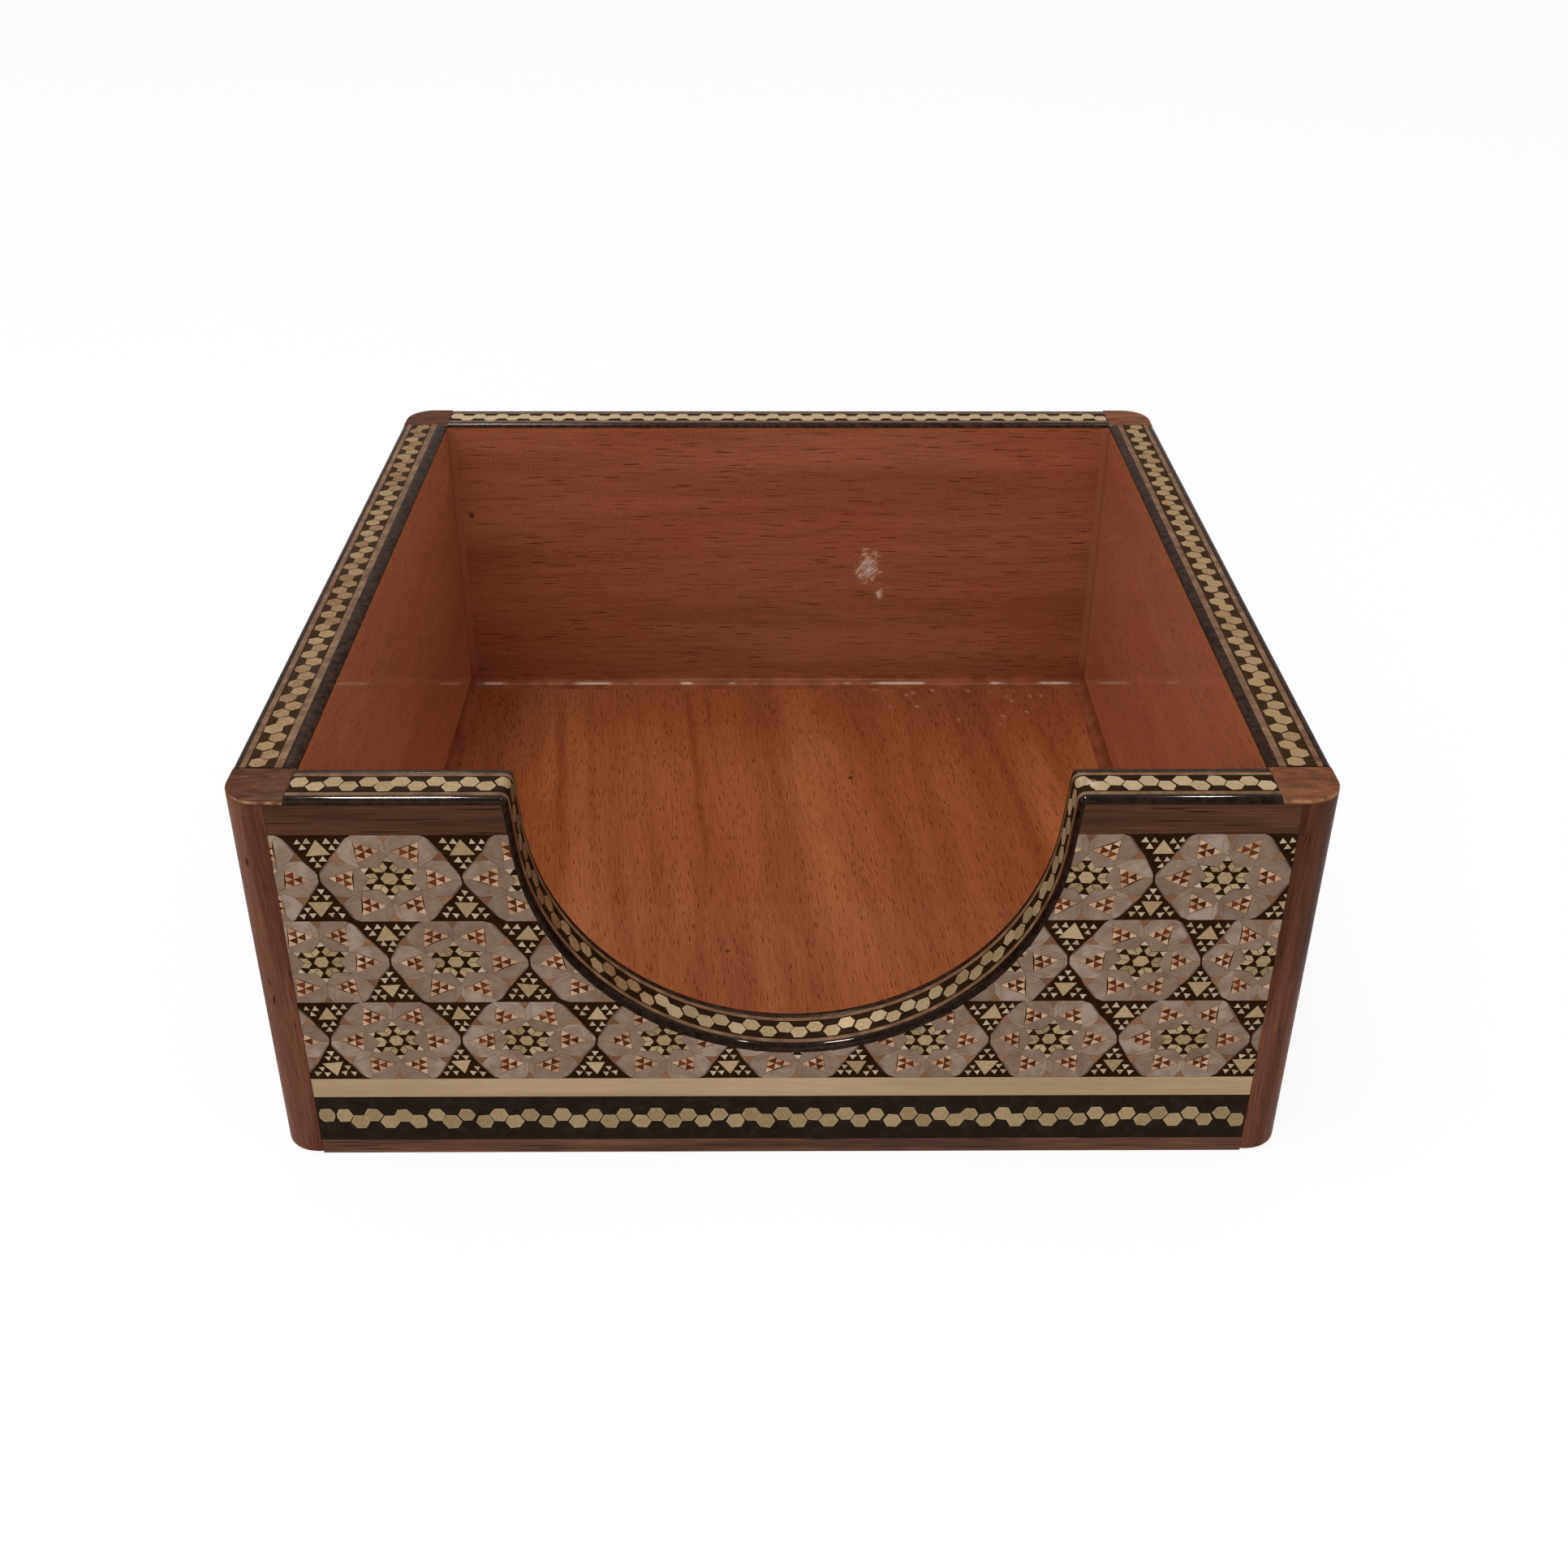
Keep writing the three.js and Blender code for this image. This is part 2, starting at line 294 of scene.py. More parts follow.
def dress(node, material):
    """Gives a CAD node its finished material."""
    nodes[node].data.materials.clear()
    nodes[node].data.materials.append(material)


floor_beech, shader, colour, vector = beech(
    "floor beech", "Y", (182, 107, 63), (143, 75, 44), (165, 88, 49), 4.0, 0.44, 0.85, figure=11.0, slant=0.1,
    coat=0.08, specular=0.0, fleck=(142, 106, 84))
along, across = (split(vector)[label] for label in "XY")
wander = times(noise(stretch(vector, 0.08, 0.0, 0.0), 1.0), STREAK_WANDER)
for middle, half_width, near_end, far_end, strength in STREAKS:
    aside = calc("ABSOLUTE", calc("SUBTRACT", calc("ADD", across, wander), middle + STREAK_WANDER / 2))
    streak = times(fade(aside, half_width, half_width * 0.15, 0.0, strength),
                   fade(along, near_end - NEAR_BLUR, near_end + NEAR_BLUR),
                   fade(along, far_end + FAR_BLUR, far_end - FAR_BLUR))
    colour = deepened(colour, streak, (158, 122, 104))
# Painted glints: pale flecks in the lacquer at the back right.
nibs_and_glints = calc("ADD", cell_distance(stretch(vector, 0.22, 0.3, 0.0), 1.0), times(noise(vector, 1.2, 3.0), 0.3))
nibs_and_glints = times(fade(nibs_and_glints, 0.36, 0.2), fade(along, 44, 54, 0.0, 0.75), fade(across, 18, 30))
colour = mix(nibs_and_glints, colour, tone(206, 150, 118))
# Painted light and shade: the floor is lighter towards the front and darker towards the back.
colour = shaded(colour, fade(along, 5, -50, 1.0, 1.12))
colour = shaded(colour, fade(along, 25, 62, 1.0, 0.77))
floor_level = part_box("base_board")[1].z * PER_MM
for x, y, radius in FLOOR_SPECKS:
    colour = speck(colour, (x, y, floor_level), radius, (52, 22, 12))
paint(shader, colour)
dress("base_board", floor_beech)


# The four wall boards: beech sawn along the grain, so that it runs level round the well.
# The side boards lap over the ends of the front and back boards and are glued to them.
# The back board has one pale mark on its face, and a knot near its left end.
PALE_MARK_AT, LITTLE_PALE_MARK_AT = (0.0188, 0.0663, 0.0316), (0.0213, 0.0663, 0.0252)
KNOT_AT, KNOT_RADIUS = (-63.1, 66.3, 42.9), 0.8


def pale_mark(colour, centre, width):
    """A small pale mark in the lacquer, ragged at its edge; its centre is in metres. On the front rim it is a painted
    reflection of a lamp.
    """
    off = vector_calc("SUBTRACT", add(colour, "TexCoord").outputs["Object"], centre)
    off = stretch(off, 1.25 * PER_MM / width, PER_MM / width, 0.8 * PER_MM / width)
    spot = in_mm(colour)
    ragged = times(calc("SUBTRACT", noise(spot, 0.9, 4.0, 0.7), 0.5), 2.2)
    far = calc("ADD", vector_calc("LENGTH", off, output="Value"), ragged)
    streaked = add(colour, "VectorRotate", {"Vector": spot, "Angle": 0.75}, rotation_type="Y_AXIS").outputs[0]
    streaked = noise(stretch(streaked, 0.45, 1.0, 2.4), 1.0, 3.0, 0.6)
    return mix(times(fade(far, 0.8, 0.25), fade(streaked, 0.36, 0.6, 0.1, 0.85)), colour, tone(222, 192, 176))


level_beech, shader, colour, vector = beech(
    "wall beech", "X", (166, 99, 69), (138, 78, 52), (154, 83, 53), 7.5, 0.5, 0.55, figure=7.0)
# Painted shade: the front and back walls are darker towards the floor.
colour = shaded(colour, fade(split(vector)["Z"], 4, 30, 0.86, 1.0))
colour = speck(colour, KNOT_AT, KNOT_RADIUS, (82, 32, 22))
paint(shader, pale_mark(pale_mark(colour, PALE_MARK_AT, 4.4), LITTLE_PALE_MARK_AT, 1.7))
side_beech, shader, colour, vector = beech(
    "side wall beech", "Y", (197, 123, 86), (173, 103, 71), (186, 107, 74), 3.4, 0.45, 0.45, figure=16.0)
# Painted light: the side walls are lighter towards the floor.
paint(shader, shaded(colour, fade(split(vector)["Z"], 3, 20, 1.35, 1.02)))
for side, wood in (("front", level_beech), ("back", level_beech), ("left", side_beech), ("right", side_beech)):
    dress(f"{side}_wall", wood)


# Pooled lacquer: the clear coat gathered in the corners of the well while it dried.
# It is a thin hollow bead along the floor's four edges and up the four inner corners.
# It was poured with the finish, so it grips both faces.
MM = 0.001
POOL_RADIUS, POOL_SINK, POOL_STEPS = 2.2, 0.15, 6
UPRIGHT_SHARE, UPRIGHT_LIFT = 0.6, 0.3  # radius of the upright beads against the level ones; start above the floor
CORNER_SIGNS = ((-1, -1), (1, -1), (1, 1), (-1, 1))
floor_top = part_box("base_board")[1].z / MM
well_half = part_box("right_wall")[0].x / MM
wall_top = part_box("back_wall")[1].z / MM


def make_piece(name, points, faces, materials, slots=None, smooth=30.0):
    """A mesh from points in millimetres. Edges sharper than smooth stay sharp."""
    mesh = bpy.data.meshes.new(name)
    mesh.from_pydata([(x * MM, y * MM, z * MM) for x, y, z in points], [], faces)
    for material in materials:
        mesh.materials.append(material)
    if slots:
        mesh.polygons.foreach_set("material_index", slots)
    mesh.update()
    if smooth:
        mesh.polygons.foreach_set("use_smooth", [True] * len(mesh.polygons))
        mesh.set_sharp_from_angle(angle=math.radians(smooth))
    piece = bpy.data.objects.new(name, mesh)
    bpy.context.scene.collection.objects.link(piece)
    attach(piece, "root")
    return piece


def sweep(rings, closed=False):
    """Joins rings of points into a tube, with a cap on each end unless it is closed."""
    points = [point for ring in rings for point in ring]
    size, count = len(rings[0]), len(rings)
    faces = []
    for i in range(count if closed else count - 1):
        j = (i + 1) % count
        for k in range(size):
            n = (k + 1) % size
            faces.append((i * size + k, i * size + n, j * size + n, j * size + k))
    if not closed:
        faces.append(tuple(range(size))[::-1])
        faces.append(tuple((count - 1) * size + k for k in range(size)))
    return points, faces


def quarter(steps, start=0.0, span=math.pi / 2):
    """Evenly spaced angles over a quarter turn, or over another span."""
    return [start + span * k / steps for k in range(steps + 1)]


def pool_profile(radius):
    """A hollow quarter round, as distances from the two faces that it joins."""
    hollow = [(radius * (1 - math.sin(a)), radius * (1 - math.cos(a))) for a in quarter(POOL_STEPS)]
    return [(-POOL_SINK, -POOL_SINK), (radius, -POOL_SINK)] + hollow + [(-POOL_SINK, radius)]


def at_height(outline, z):
    return [(x, y, z) for x, y in outline]


pooled_lacquer, shader = lacquered("pooled lacquer", 0.1, 0.0, 0.05, specular=0.14)
vector = grain_vector(shader, "X")
along, deep, height = (split(vector)[label] for label in "XYZ")
streaks = noise(stretch(vector, 0.25, 0.25, 0.25), 1.0, 3.0)
colour = mix(fade(streaks, 0.3, 0.7), tone(122, 62, 40), tone(146, 79, 51))
# Painted reflection: the upright beads in the corners are lighter.
colour = mix(fade(height, floor_top + 2, floor_top + 7), colour, tone(150, 88, 62))
# Painted highlights: broken pale lines along the back of the floor bead.
highlight_dashes = fade(noise(join(X=along), 0.06, 3.0, 0.6), 0.5, 0.58)
line = fade(calc("ABSOLUTE", calc("SUBTRACT", height, floor_top + 0.6)), 0.3, 0.1)
paint(shader, mix(times(line, highlight_dashes, fade(deep, 60, 62, 0.0, 0.6)), colour, tone(226, 200, 184)))
wear_film(shader, vector, 0.06, 0.2, bump=0.5, wave=4.0)
pool_points, pool_faces = [], []


def add_pool(rings, closed):
    points, faces = sweep(rings, closed)
    start = len(pool_points)
    pool_points.extend(points)
    pool_faces.extend(tuple(start + index for index in face) for face in faces)


add_pool([[(sx * (well_half - a), sy * (well_half - a), floor_top + b) for a, b in pool_profile(POOL_RADIUS)]
          for sx, sy in CORNER_SIGNS], True)
for sx, sy in CORNER_SIGNS:
    ring = [(sx * (well_half - a), sy * (well_half - b)) for a, b in pool_profile(POOL_RADIUS * UPRIGHT_SHARE)]
    ring = ring if sx * sy > 0 else ring[::-1]
    add_pool([at_height(ring, z) for z in (floor_top + UPRIGHT_LIFT, wall_top)], False)
pool = make_piece("pooled_lacquer", pool_points, pool_faces, [pooled_lacquer], smooth=40)


# The corner posts: square walnut sticks with a rounded outer edge and their grain upright.
# Each fills the corner between two faced walls and is glued to the ends of the boards.
# Their feet are eased so that they don't splinter.
POST_STEPS, POST_RADIUS = 20, 5.2
EASED_FOOT = 0.35
CORNERS = {"front_left": 0, "front_right": 1, "back_right": 2, "back_left": 3}


def turned(points, quarters):
    """Points drawn on the front side, turned about the box's middle by quarter turns."""
    sine, cosine = ((0, 1), (1, 0), (0, -1), (-1, 0))[quarters]
    return [(x * cosine - y * sine, x * sine + y * cosine, z) for x, y, z in points]


def corner_outline(reach, width, radius):
    """A square in the front left corner with its outer edge rounded, counter-clockwise from above."""
    centre = -reach + radius
    rounded = [(centre + radius * math.cos(a), centre + radius * math.sin(a)) for a in quarter(POST_STEPS, math.pi)]
    return rounded + [(-reach + width, -reach), (-reach + width, -reach + width), (-reach, -reach + width)]


def shrink(outline, amount):
    """Draws a convex outline in by the same amount all round."""
    small = []
    for before, here, after in zip(outline[-1:] + outline[:-1], outline, outline[1:] + outline[:1]):
        normals = []
        for a, b in ((before, here), (here, after)):
            length = math.dist(a[:2], b[:2]) or 1.0
            normals.append(((a[1] - b[1]) / length, (b[0] - a[0]) / length))
        nx, ny = normals[0][0] + normals[1][0], normals[0][1] + normals[1][1]
        size = max(0.3, 1 + normals[0][0] * normals[1][0] + normals[0][1] * normals[1][1])
        small.append((here[0] + nx / size * amount, here[1] + ny / size * amount, *here[2:]))
    return small


def walnut(name, axis, light, dark, pore_length, pore_width, pores, coat=0.05, specular=0.06):
    material, shader = lacquered(name, 0.45, coat, 0.08, specular)
    vector = grain_vector(shader, axis)
    grain = place(wood_grain, Vector=vector, Figure_Width=2.6, Fibre_Width=0.22, Waviness=0.1)
    flecks = place(wood_flecks, Vector=vector, Length=pore_length, Width=pore_width, Share=pores)
    colour = mix(fade(grain["Figure"], 0.3, 0.7), tone(*dark), tone(*light))
    colour = shaded(colour, fade(grain["Fibres"], 0.28, 0.72, 0.72, 1.16))
    colour = deepened(colour, flecks["Mask"], (84, 70, 64))
    wear_film(shader, vector, 0.38, 0.52)
    paint(shader, colour)
    return material, shader, colour


post_walnut, shader, colour = walnut("post walnut", "Z", (118, 73, 54), (84, 49, 36), 3.4, 0.4, 0.15,
                                     coat=0.0, specular=0.03)
# The posts on the right get painted shade towards the top.
across, height = (split(in_mm(shader))[label] for label in "XZ")
painted_shade = times(fade(across, -10, 10), fade(height, 20, 45))
paint(shader, shaded(colour, fade(painted_shade, 0.0, 1.0, 1.0, 0.6)))
box_half = cad_box[1].x / MM
post_low, post_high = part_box("corner_post_front_left")
outline = corner_outline(box_half, (post_high.x - post_low.x) / MM, POST_RADIUS)
levels = [at_height(shrink(outline, EASED_FOOT), 0.0)]
levels += [at_height(outline, z) for z in (EASED_FOOT, wall_top - EASED_FOOT, wall_top)]
for corner, quarters in CORNERS.items():
    points, faces = sweep(levels)
    post = make_piece(f"post_{corner}", turned(points, quarters), faces, [post_walnut])
    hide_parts(f"corner_post_{corner}")


# Walnut strips: thin flat strips along the foot and under the rim of every side, grain along their length.
# The front has a short top strip on each side of the cut-out.
# They are glued to the wall boards and planed flush with the mosaic.
QUARTERS = {"front": 0, "right": 1, "back": 2, "left": 3}
GRAIN_AXIS = {"front": "X", "right": "Y", "back": "X", "left": "Y"}
strip_walnut = {}
for axis in "XY":
    for level, light, dark in (("top", (87, 55, 37), (60, 37, 24)), ("bottom", (114, 78, 60), (74, 48, 37))):
        strip_walnut[level, axis] = walnut(f"{level} strip walnut {axis}", axis, light, dark, 13.0, 0.6, 0.65)[0]
for side, axis in GRAIN_AXIS.items():
    dress(f"{side}_bottom_strip", strip_walnut["bottom", axis])
    for top in ["front_left", "front_right"] if side == "front" else [side]:
        dress(f"{top}_top_strip", strip_walnut["top", axis])


# Cream stripes: pale straight-grained wood, between the mosaic and the black band of every side.
# Each is one long slip of veneer, yellowed by the lacquer.
# It is glued to the wall board and scraped flush.
cream_wood = {}
for axis in "XY":
    cream_wood[axis], shader = lacquered(f"cream wood {axis}", 0.45, 0.05, 0.08)
    vector = grain_vector(shader, axis)
    grain = place(wood_grain, Vector=vector, Figure_Width=3.2, Fibre_Width=0.16, Waviness=0.15)
    colour = mix(fade(grain["Figure"], 0.3, 0.7), tone(160, 135, 103), tone(180, 155, 122))
    paint(shader, mix(fade(grain["Fibres"], 0.45, 0.75, 0.0, 0.5), colour, tone(150, 121, 90)))
    wear_film(shader, vector, 0.38, 0.52)
for side, axis in GRAIN_AXIS.items():
    dress(f"{side}_cream_stripe", cream_wood[axis])


# Black bands: a slip of black wood low on every side, with a zigzag chain of brass hexagons let into it.
# The hexagons are slices of six-sided brass wire, sanded flush and lacquered over.
# They were set by hand, so gaps and heights vary a little.
# The third number is the width of a pale rim round each hexagon's top: a painted highlight.
HEXAGON_RADIUS, HEXAGON_RAGGEDNESS, GLINT_RIM = 1.37, 0.07, 0.2
CHAIN_PITCH, CHAIN_SWING, CHAIN_END = 2.33, 0.64, 0.3
CHAIN_BREAKS = {"front": (2.9, 16.4), "right": (51.0,), "back": (88.0,), "left": (30.0, 104.0)}  # from the left end
LOW_ROW_DROP = 0.006  # the lower hexagons lie a hair deeper, so that laps have one order
INLAY_SINK, GROUND_DROP = 0.35, 0.02
SMALLEST_TILE = 0.01  # square millimetres
GLINT_AT, GLINT_WIDTH = (0.0417, -0.0707, 0.0624), 1.5  # a painted reflection of a lamp on the front rim
BAKE_FLOOR, BAKE_GROUND = 0.1, 0.08  # height of the bake map where the tiles start, and where their ground ends
BAKE_MARGIN = 0.002


def attribute_value(owner, name):
    return add(owner, "Attribute", attribute_name=name).outputs["Fac"]


def tinted(value, *colours):
    """Runs through colours from value 0 to value 1."""
    ramp = add(value, "ValToRGB", {0: value})
    stops = ramp.color_ramp.elements
    while len(stops) < len(colours):
        stops.new(0.5)
    for k, picked in enumerate(colours):
        stops[k].position = k / (len(colours) - 1)
        stops[k].color = tone(*picked)
    return ramp.outputs[0]


def inlay(name, colours, speckle=0.25, speckle_size=0.5, roughness=0.42, metal=0.0, coat=0.05, specular=0.06,
          glinting=False):
    """A small inlaid material, tinted tile by tile, with a fine speckle of its own."""
    material, shader = lacquered(name, roughness, coat, 0.08, specular)
    shader.inputs["Metallic"].default_value = metal
    vector = grain_vector(shader, "X")
    fine = times(calc("SUBTRACT", noise(vector, 1 / speckle_size, 3.0, 0.6), 0.5), speckle)
    colour = tinted(calc("ADD", attribute_value(shader, "shade"), fine, clamp=True), *colours)
    # Where this is set, a painted reflection of a lamp on the front rim.
    paint(shader, pale_mark(colour, GLINT_AT, GLINT_WIDTH) if glinting else colour)
    wear_film(shader, vector, roughness - 0.06, roughness + 0.08)
    return material, shader, colour, vector


black_wood = inlay("black wood", [(21, 13, 8), (36, 28, 21), (53, 43, 34)], speckle=1.1, speckle_size=1.4,
                   roughness=0.6, coat=0.02, specular=0.02)[0]
brass, shader, colour, vector = inlay(
    "brass wire", [(132, 111, 80), (158, 135, 102), (182, 158, 125)], speckle=1.2, roughness=0.5,
    metal=0.06, coat=0.02, specular=0.03)
# Painted highlight: a pale rim round the top of each hexagon.
colour = mix(fade(attribute_value(shader, "edge"), 0.75, 0.15, 0.0, 0.5), colour, tone(190, 171, 136))
# The pale spot on the front rim is a painted reflection of a lamp.
paint(shader, pale_mark(colour, GLINT_AT, GLINT_WIDTH))


def flat_map(low_u, high_u, low_v, high_v, low_share=BAKE_FLOOR, high_share=1.0):
    """Spreads a rectangle over the part of the bake map between two shares of its height."""
    def spread(value, low, high):
        return BAKE_MARGIN + (1 - 2 * BAKE_MARGIN) * (value - low) / (high - low)

    return lambda u, v: (spread(u, low_u, high_u), low_share + spread(v, low_v, high_v) * (high_share - low_share))


class TileSheet:
    """Collects closed tiles and their ground for one piece, in the piece's own flat coordinates."""

    def __init__(self, to_box, to_map):
        self.to_box, self.to_map = to_box, to_map
        self.points, self.faces, self.slots, self.shades, self.edges, self.maps = [], [], [], [], [], []

    def face(self, corners, slot, shade, spots):
        self.faces.append(corners)
        self.slots.append(slot)
        self.shades.append(shade)
        self.maps.extend(spots)

    def tile(self, outline, slot, shade, top=0.0, foot=-INLAY_SINK, to_map=None, worn=0.0):
        """A flat tile with its sides; worn is the width of a pale rim round its top, where the brass paints a
        highlight.
        """
        start, size = len(self.points), len(outline)
        loops = [(outline, top, 0.0 if worn else 1.0), (outline, foot, 1.0)]
        if worn:
            loops.append((shrink(outline, worn), top, 1.0))
        maps = []
        for loop, height, edge in loops:
            maps.append([(to_map or self.to_map)(*corner[:2]) for corner in loop])
            self.points.extend(self.to_box(*corner[:2], height) for corner in loop)
            self.edges.extend(corner[2] if len(corner) > 2 else edge for corner in loop)

        def wall_between(first, second):
            for k in range(size):
                n = (k + 1) % size
                way = ((first, n), (first, k), (second, k), (second, n))
                self.face([start + a * size + b for a, b in way], slot, shade, [maps[a][b] for a, b in way])

        face_up = 2 if worn else 0
        self.face([start + face_up * size + k for k in range(size)], slot, shade, maps[face_up])
        self.face([start + size + k for k in range(size)][::-1], slot, shade, maps[1][::-1])
        wall_between(0, 1)
        if worn:
            wall_between(2, 0)

    def ground(self, outline, slot, shade, depth, limits):
        """The wood that the tiles are let into."""
        self.tile(outline, slot, shade, -GROUND_DROP, -depth, flat_map(*limits, 0.0, BAKE_GROUND))

    def piece(self, name, materials):
        made = make_piece(name, self.points, self.faces, materials, self.slots, smooth=0)
        shade = made.data.attributes.new("shade", "FLOAT", "FACE")
        shade.data.foreach_set("value", self.shades)
        edge = made.data.attributes.new("edge", "FLOAT", "POINT")
        edge.data.foreach_set("value", self.edges)
        bake = made.data.uv_layers.new(name="OFBake")
        bake.data.foreach_set("uv", [value for spot in self.maps for value in spot])
        return made


def clip(outline, nx, ny, limit):
    """Keeps the part of a convex outline where nx * u + ny * v stays under limit."""
    kept = []
    for here, there in zip(outline, outline[1:] + outline[:1]):
        a, b = nx * here[0] + ny * here[1] - limit, nx * there[0] + ny * there[1] - limit
        if a <= 0:
            kept.append(here)
        if a * b < 0:
            kept.append(tuple(p + (q - p) * a / (a - b) for p, q in zip(here, there)))
    return kept


def worth_laying(outline):
    pairs = zip(outline, outline[1:] + outline[:1])
    return len(outline) > 2 and sum(a[0] * b[1] - b[0] * a[1] for a, b in pairs) / 2 > SMALLEST_TILE


def within(outline, low_u, high_u, low_v, high_v):
    for nx, ny, limit in ((-1, 0, -low_u), (1, 0, high_u), (0, -1, -low_v), (0, 1, high_v)):
        outline = clip(outline, nx, ny, limit) if len(outline) > 2 else []
    return outline if worth_laying(outline) else []


def stray(lots, reach):
    return lots.uniform(-reach, reach)


def hexagon(u, v, radius, turn, lots):
    outline = []
    for k in range(6):
        angle = math.pi / 3 * k + turn
        reach = radius * (1 + stray(lots, HEXAGON_RAGGEDNESS))
        outline.append((u + reach * math.cos(angle), v + reach * math.sin(angle)))
    return outline


def lay_chain(sheet, low_u, high_u, middle, slot, lots, pitch=CHAIN_PITCH, radius=HEXAGON_RADIUS, swing=CHAIN_SWING,
              low_v=-math.inf, high_v=math.inf, folds=(), shades=(0.15, 0.6), lighten=0.0):
    """A zigzag row of hexagons between two ends, up and down by turns, each bent over the folds that cross it."""
    count = round((high_u - low_u) / pitch)
    step = (high_u - low_u) / count
    for k in range(count):
        up = k % 2 == 0
        u = low_u + (k + 0.5) * step + stray(lots, 0.12)
        v = middle + (swing if up else -swing) + stray(lots, 0.07)
        size = radius * lots.uniform(0.95, 1.05)
        outline = within(hexagon(u, v, size, stray(lots, 0.09), lots), low_u, high_u, low_v, high_v)
        shade, top = lots.uniform(*shades) + lighten * k / count, 0.0 if up else -LOW_ROW_DROP
        crossing = [fold for fold in folds if abs(fold - u) < size]
        if outline and not crossing:
            sheet.tile(outline, slot, shade, top=top, worn=GLINT_RIM)
        for low, high in zip([low_u] + crossing, crossing + [high_u]) if crossing else []:
            part = within(outline, low, high, low_v, high_v)
            if part:
                sheet.tile(part, slot, shade, top=top)


def side_to_box(reach, quarters):
    """Carries a spot on a side's face, with a height above it, into the box's frame."""
    return lambda u, v, height: turned([(u, -reach - height, v)], quarters)[0]


band_low, band_high = (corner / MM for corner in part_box("front_hexagon_band"))
left, right, low, high = limits = band_low.x, band_high.x, band_low.z, band_high.z
for side, quarters in QUARTERS.items():
    lots = random.Random(f"{side} hexagon band")
    sheet = TileSheet(side_to_box(box_half, quarters), flat_map(*limits))
    sheet.ground([(left, low), (right, low), (right, high), (left, high)], 0, 0.45, band_high.y - band_low.y, limits)
    starts = [left + CHAIN_END, *(left + spot for spot in CHAIN_BREAKS[side])]
    ends = [start - CHAIN_END for start in starts[1:]] + [right - CHAIN_END]
    for start, end in zip(starts, ends):
        lay_chain(sheet, start, end, (low + high) / 2, 1, lots)
    band = sheet.piece(f"{side}_hexagon_inlay", [black_wood, brass])
    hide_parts(f"{side}_hexagon_band")


# Mosaic panels: three rows of six-sided star rods, sliced thin, glued side by side and sanded flush.
# Each star is bone round brass, black, cream and red wood; black triangles with brass fill the gaps.
# The front panel was cut to the opening after it was glued to the wall.
ROOT = math.sqrt(3)
STAR_PITCH = 19.0
STAR_UNIT, STAR_FLAT = 0.136, 0.95  # side of a star's smallest rod, as a share of the star's half width
RED_BASE, RED_TIP = 0.505, 0.865  # where a red triangle starts and ends
TAN_DEPTH, TAN_HALF = 0.19, 0.1
BONE_EDGE, BONE_TIP, BONE_ROUNDING = 0.905, 0.985, 0.016  # how far the bone reaches over its sides and its corners
CLUSTER_REACH, CLUSTER_STEP, CLUSTER_SIDE, HEART_SIDE = 0.24, 0.142, 0.12, 0.355
BLACK, BONE, CREAM, PINK, RED, TAN, BRASS = range(7)
SEAMS = {BONE: 0.02, TAN: 0.02, CREAM: 0.03, PINK: 0.03, RED: 0.022, BRASS: 0.045}
# The stars' middles along each row; the rods weren't all cut to the same width.
STAR_ROWS = {
    "front": ((-72.5, -53.5, -33.6, -14.0, 3.5, 22.3, 41.1, 60.0, 79.0),
              (-83.4, -64.4, -45.7, -25.7, -7.0, 11.5, 30.0, 50.1, 67.3, 86.0),
              (-74.8, -55.7, -36.9, -17.1, 1.9, 20.7, 38.5, 58.0, 77.0)),
    "right": ((-75.0, -56.0, -37.3, -18.0, 0.9, 20.2, 38.9, 57.8, 77.0),
              (-66.2, -47.1, -28.0, -9.3, 9.8, 29.1, 48.0, 66.9),
              (-76.4, -57.5, -38.2, -19.3, -0.4, 18.3, 37.6, 56.7, 75.6)),
    "back": ((-77.3, -58.4, -39.6, -20.3, -1.2, 17.5, 36.8, 55.9, 74.6),
             (-67.0, -48.0, -28.9, -10.2, 9.1, 28.0, 46.7, 65.9),
             (-76.0, -57.0, -38.1, -18.8, 0.1, 19.2, 38.0, 57.3, 76.2)),
    "left": ((-73.6, -54.8, -35.5, -16.6, 2.3, 21.6, 40.4, 59.3, 78.2),
             (-64.9, -45.8, -27.1, -7.9, 11.0, 30.2, 49.1, 67.8),
             (-73.1, -54.0, -34.8, -16.0, 3.1, 22.2, 41.0, 60.2, 79.0))}
GAP_SHIFT = {False: 0.35, True: -0.1}  # the upper and lower black triangles don't sit quite between the stars
CUTOUT_SIDES, CUTOUT_EDGING, CUTOUT_LEAN = 5.1, 0.7, math.radians(5.2)
CUTOUT_STEPS = 72
GLUE = 0.05
rim_top = cad_box[1].z / MM
cutout_low, cutout_high = (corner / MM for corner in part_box("rim_cutout_chain_band"))
cutout_middle = (cutout_low.x + cutout_high.x) / 2
cutout_level = rim_top - CUTOUT_SIDES
cutout_radius = cutout_level - cutout_low.z + GLUE - CUTOUT_EDGING

# The dark ground carries the painted reflection on the front rim.
dark_ground = inlay("dark ground", [(26, 13, 4), (40, 24, 11), (56, 38, 21)], speckle=1.1, speckle_size=1.4,
                    roughness=0.6, coat=0.0, specular=0.01, glinting=True)[0]
bone, shader, colour, vector = inlay(
    "bone", [(108, 89, 75), (124, 104, 89), (137, 117, 102), (156, 138, 123)], speckle=1.3, speckle_size=2.2)
blush = fade(noise(vector, 0.4, 3.0), 0.46, 0.7, 0.0, 0.6)
stain = fade(noise(vector, 1.5, 4.0, 0.7), 0.58, 0.76, 0.0, 0.6)
colour = mix(stain, mix(blush, colour, tone(122, 94, 77)), tone(92, 76, 63))
paint(shader, mix(fade(attribute_value(shader, "edge"), 0.15, 0.0, 0.0, 0.8), colour, tone(66, 55, 44)))
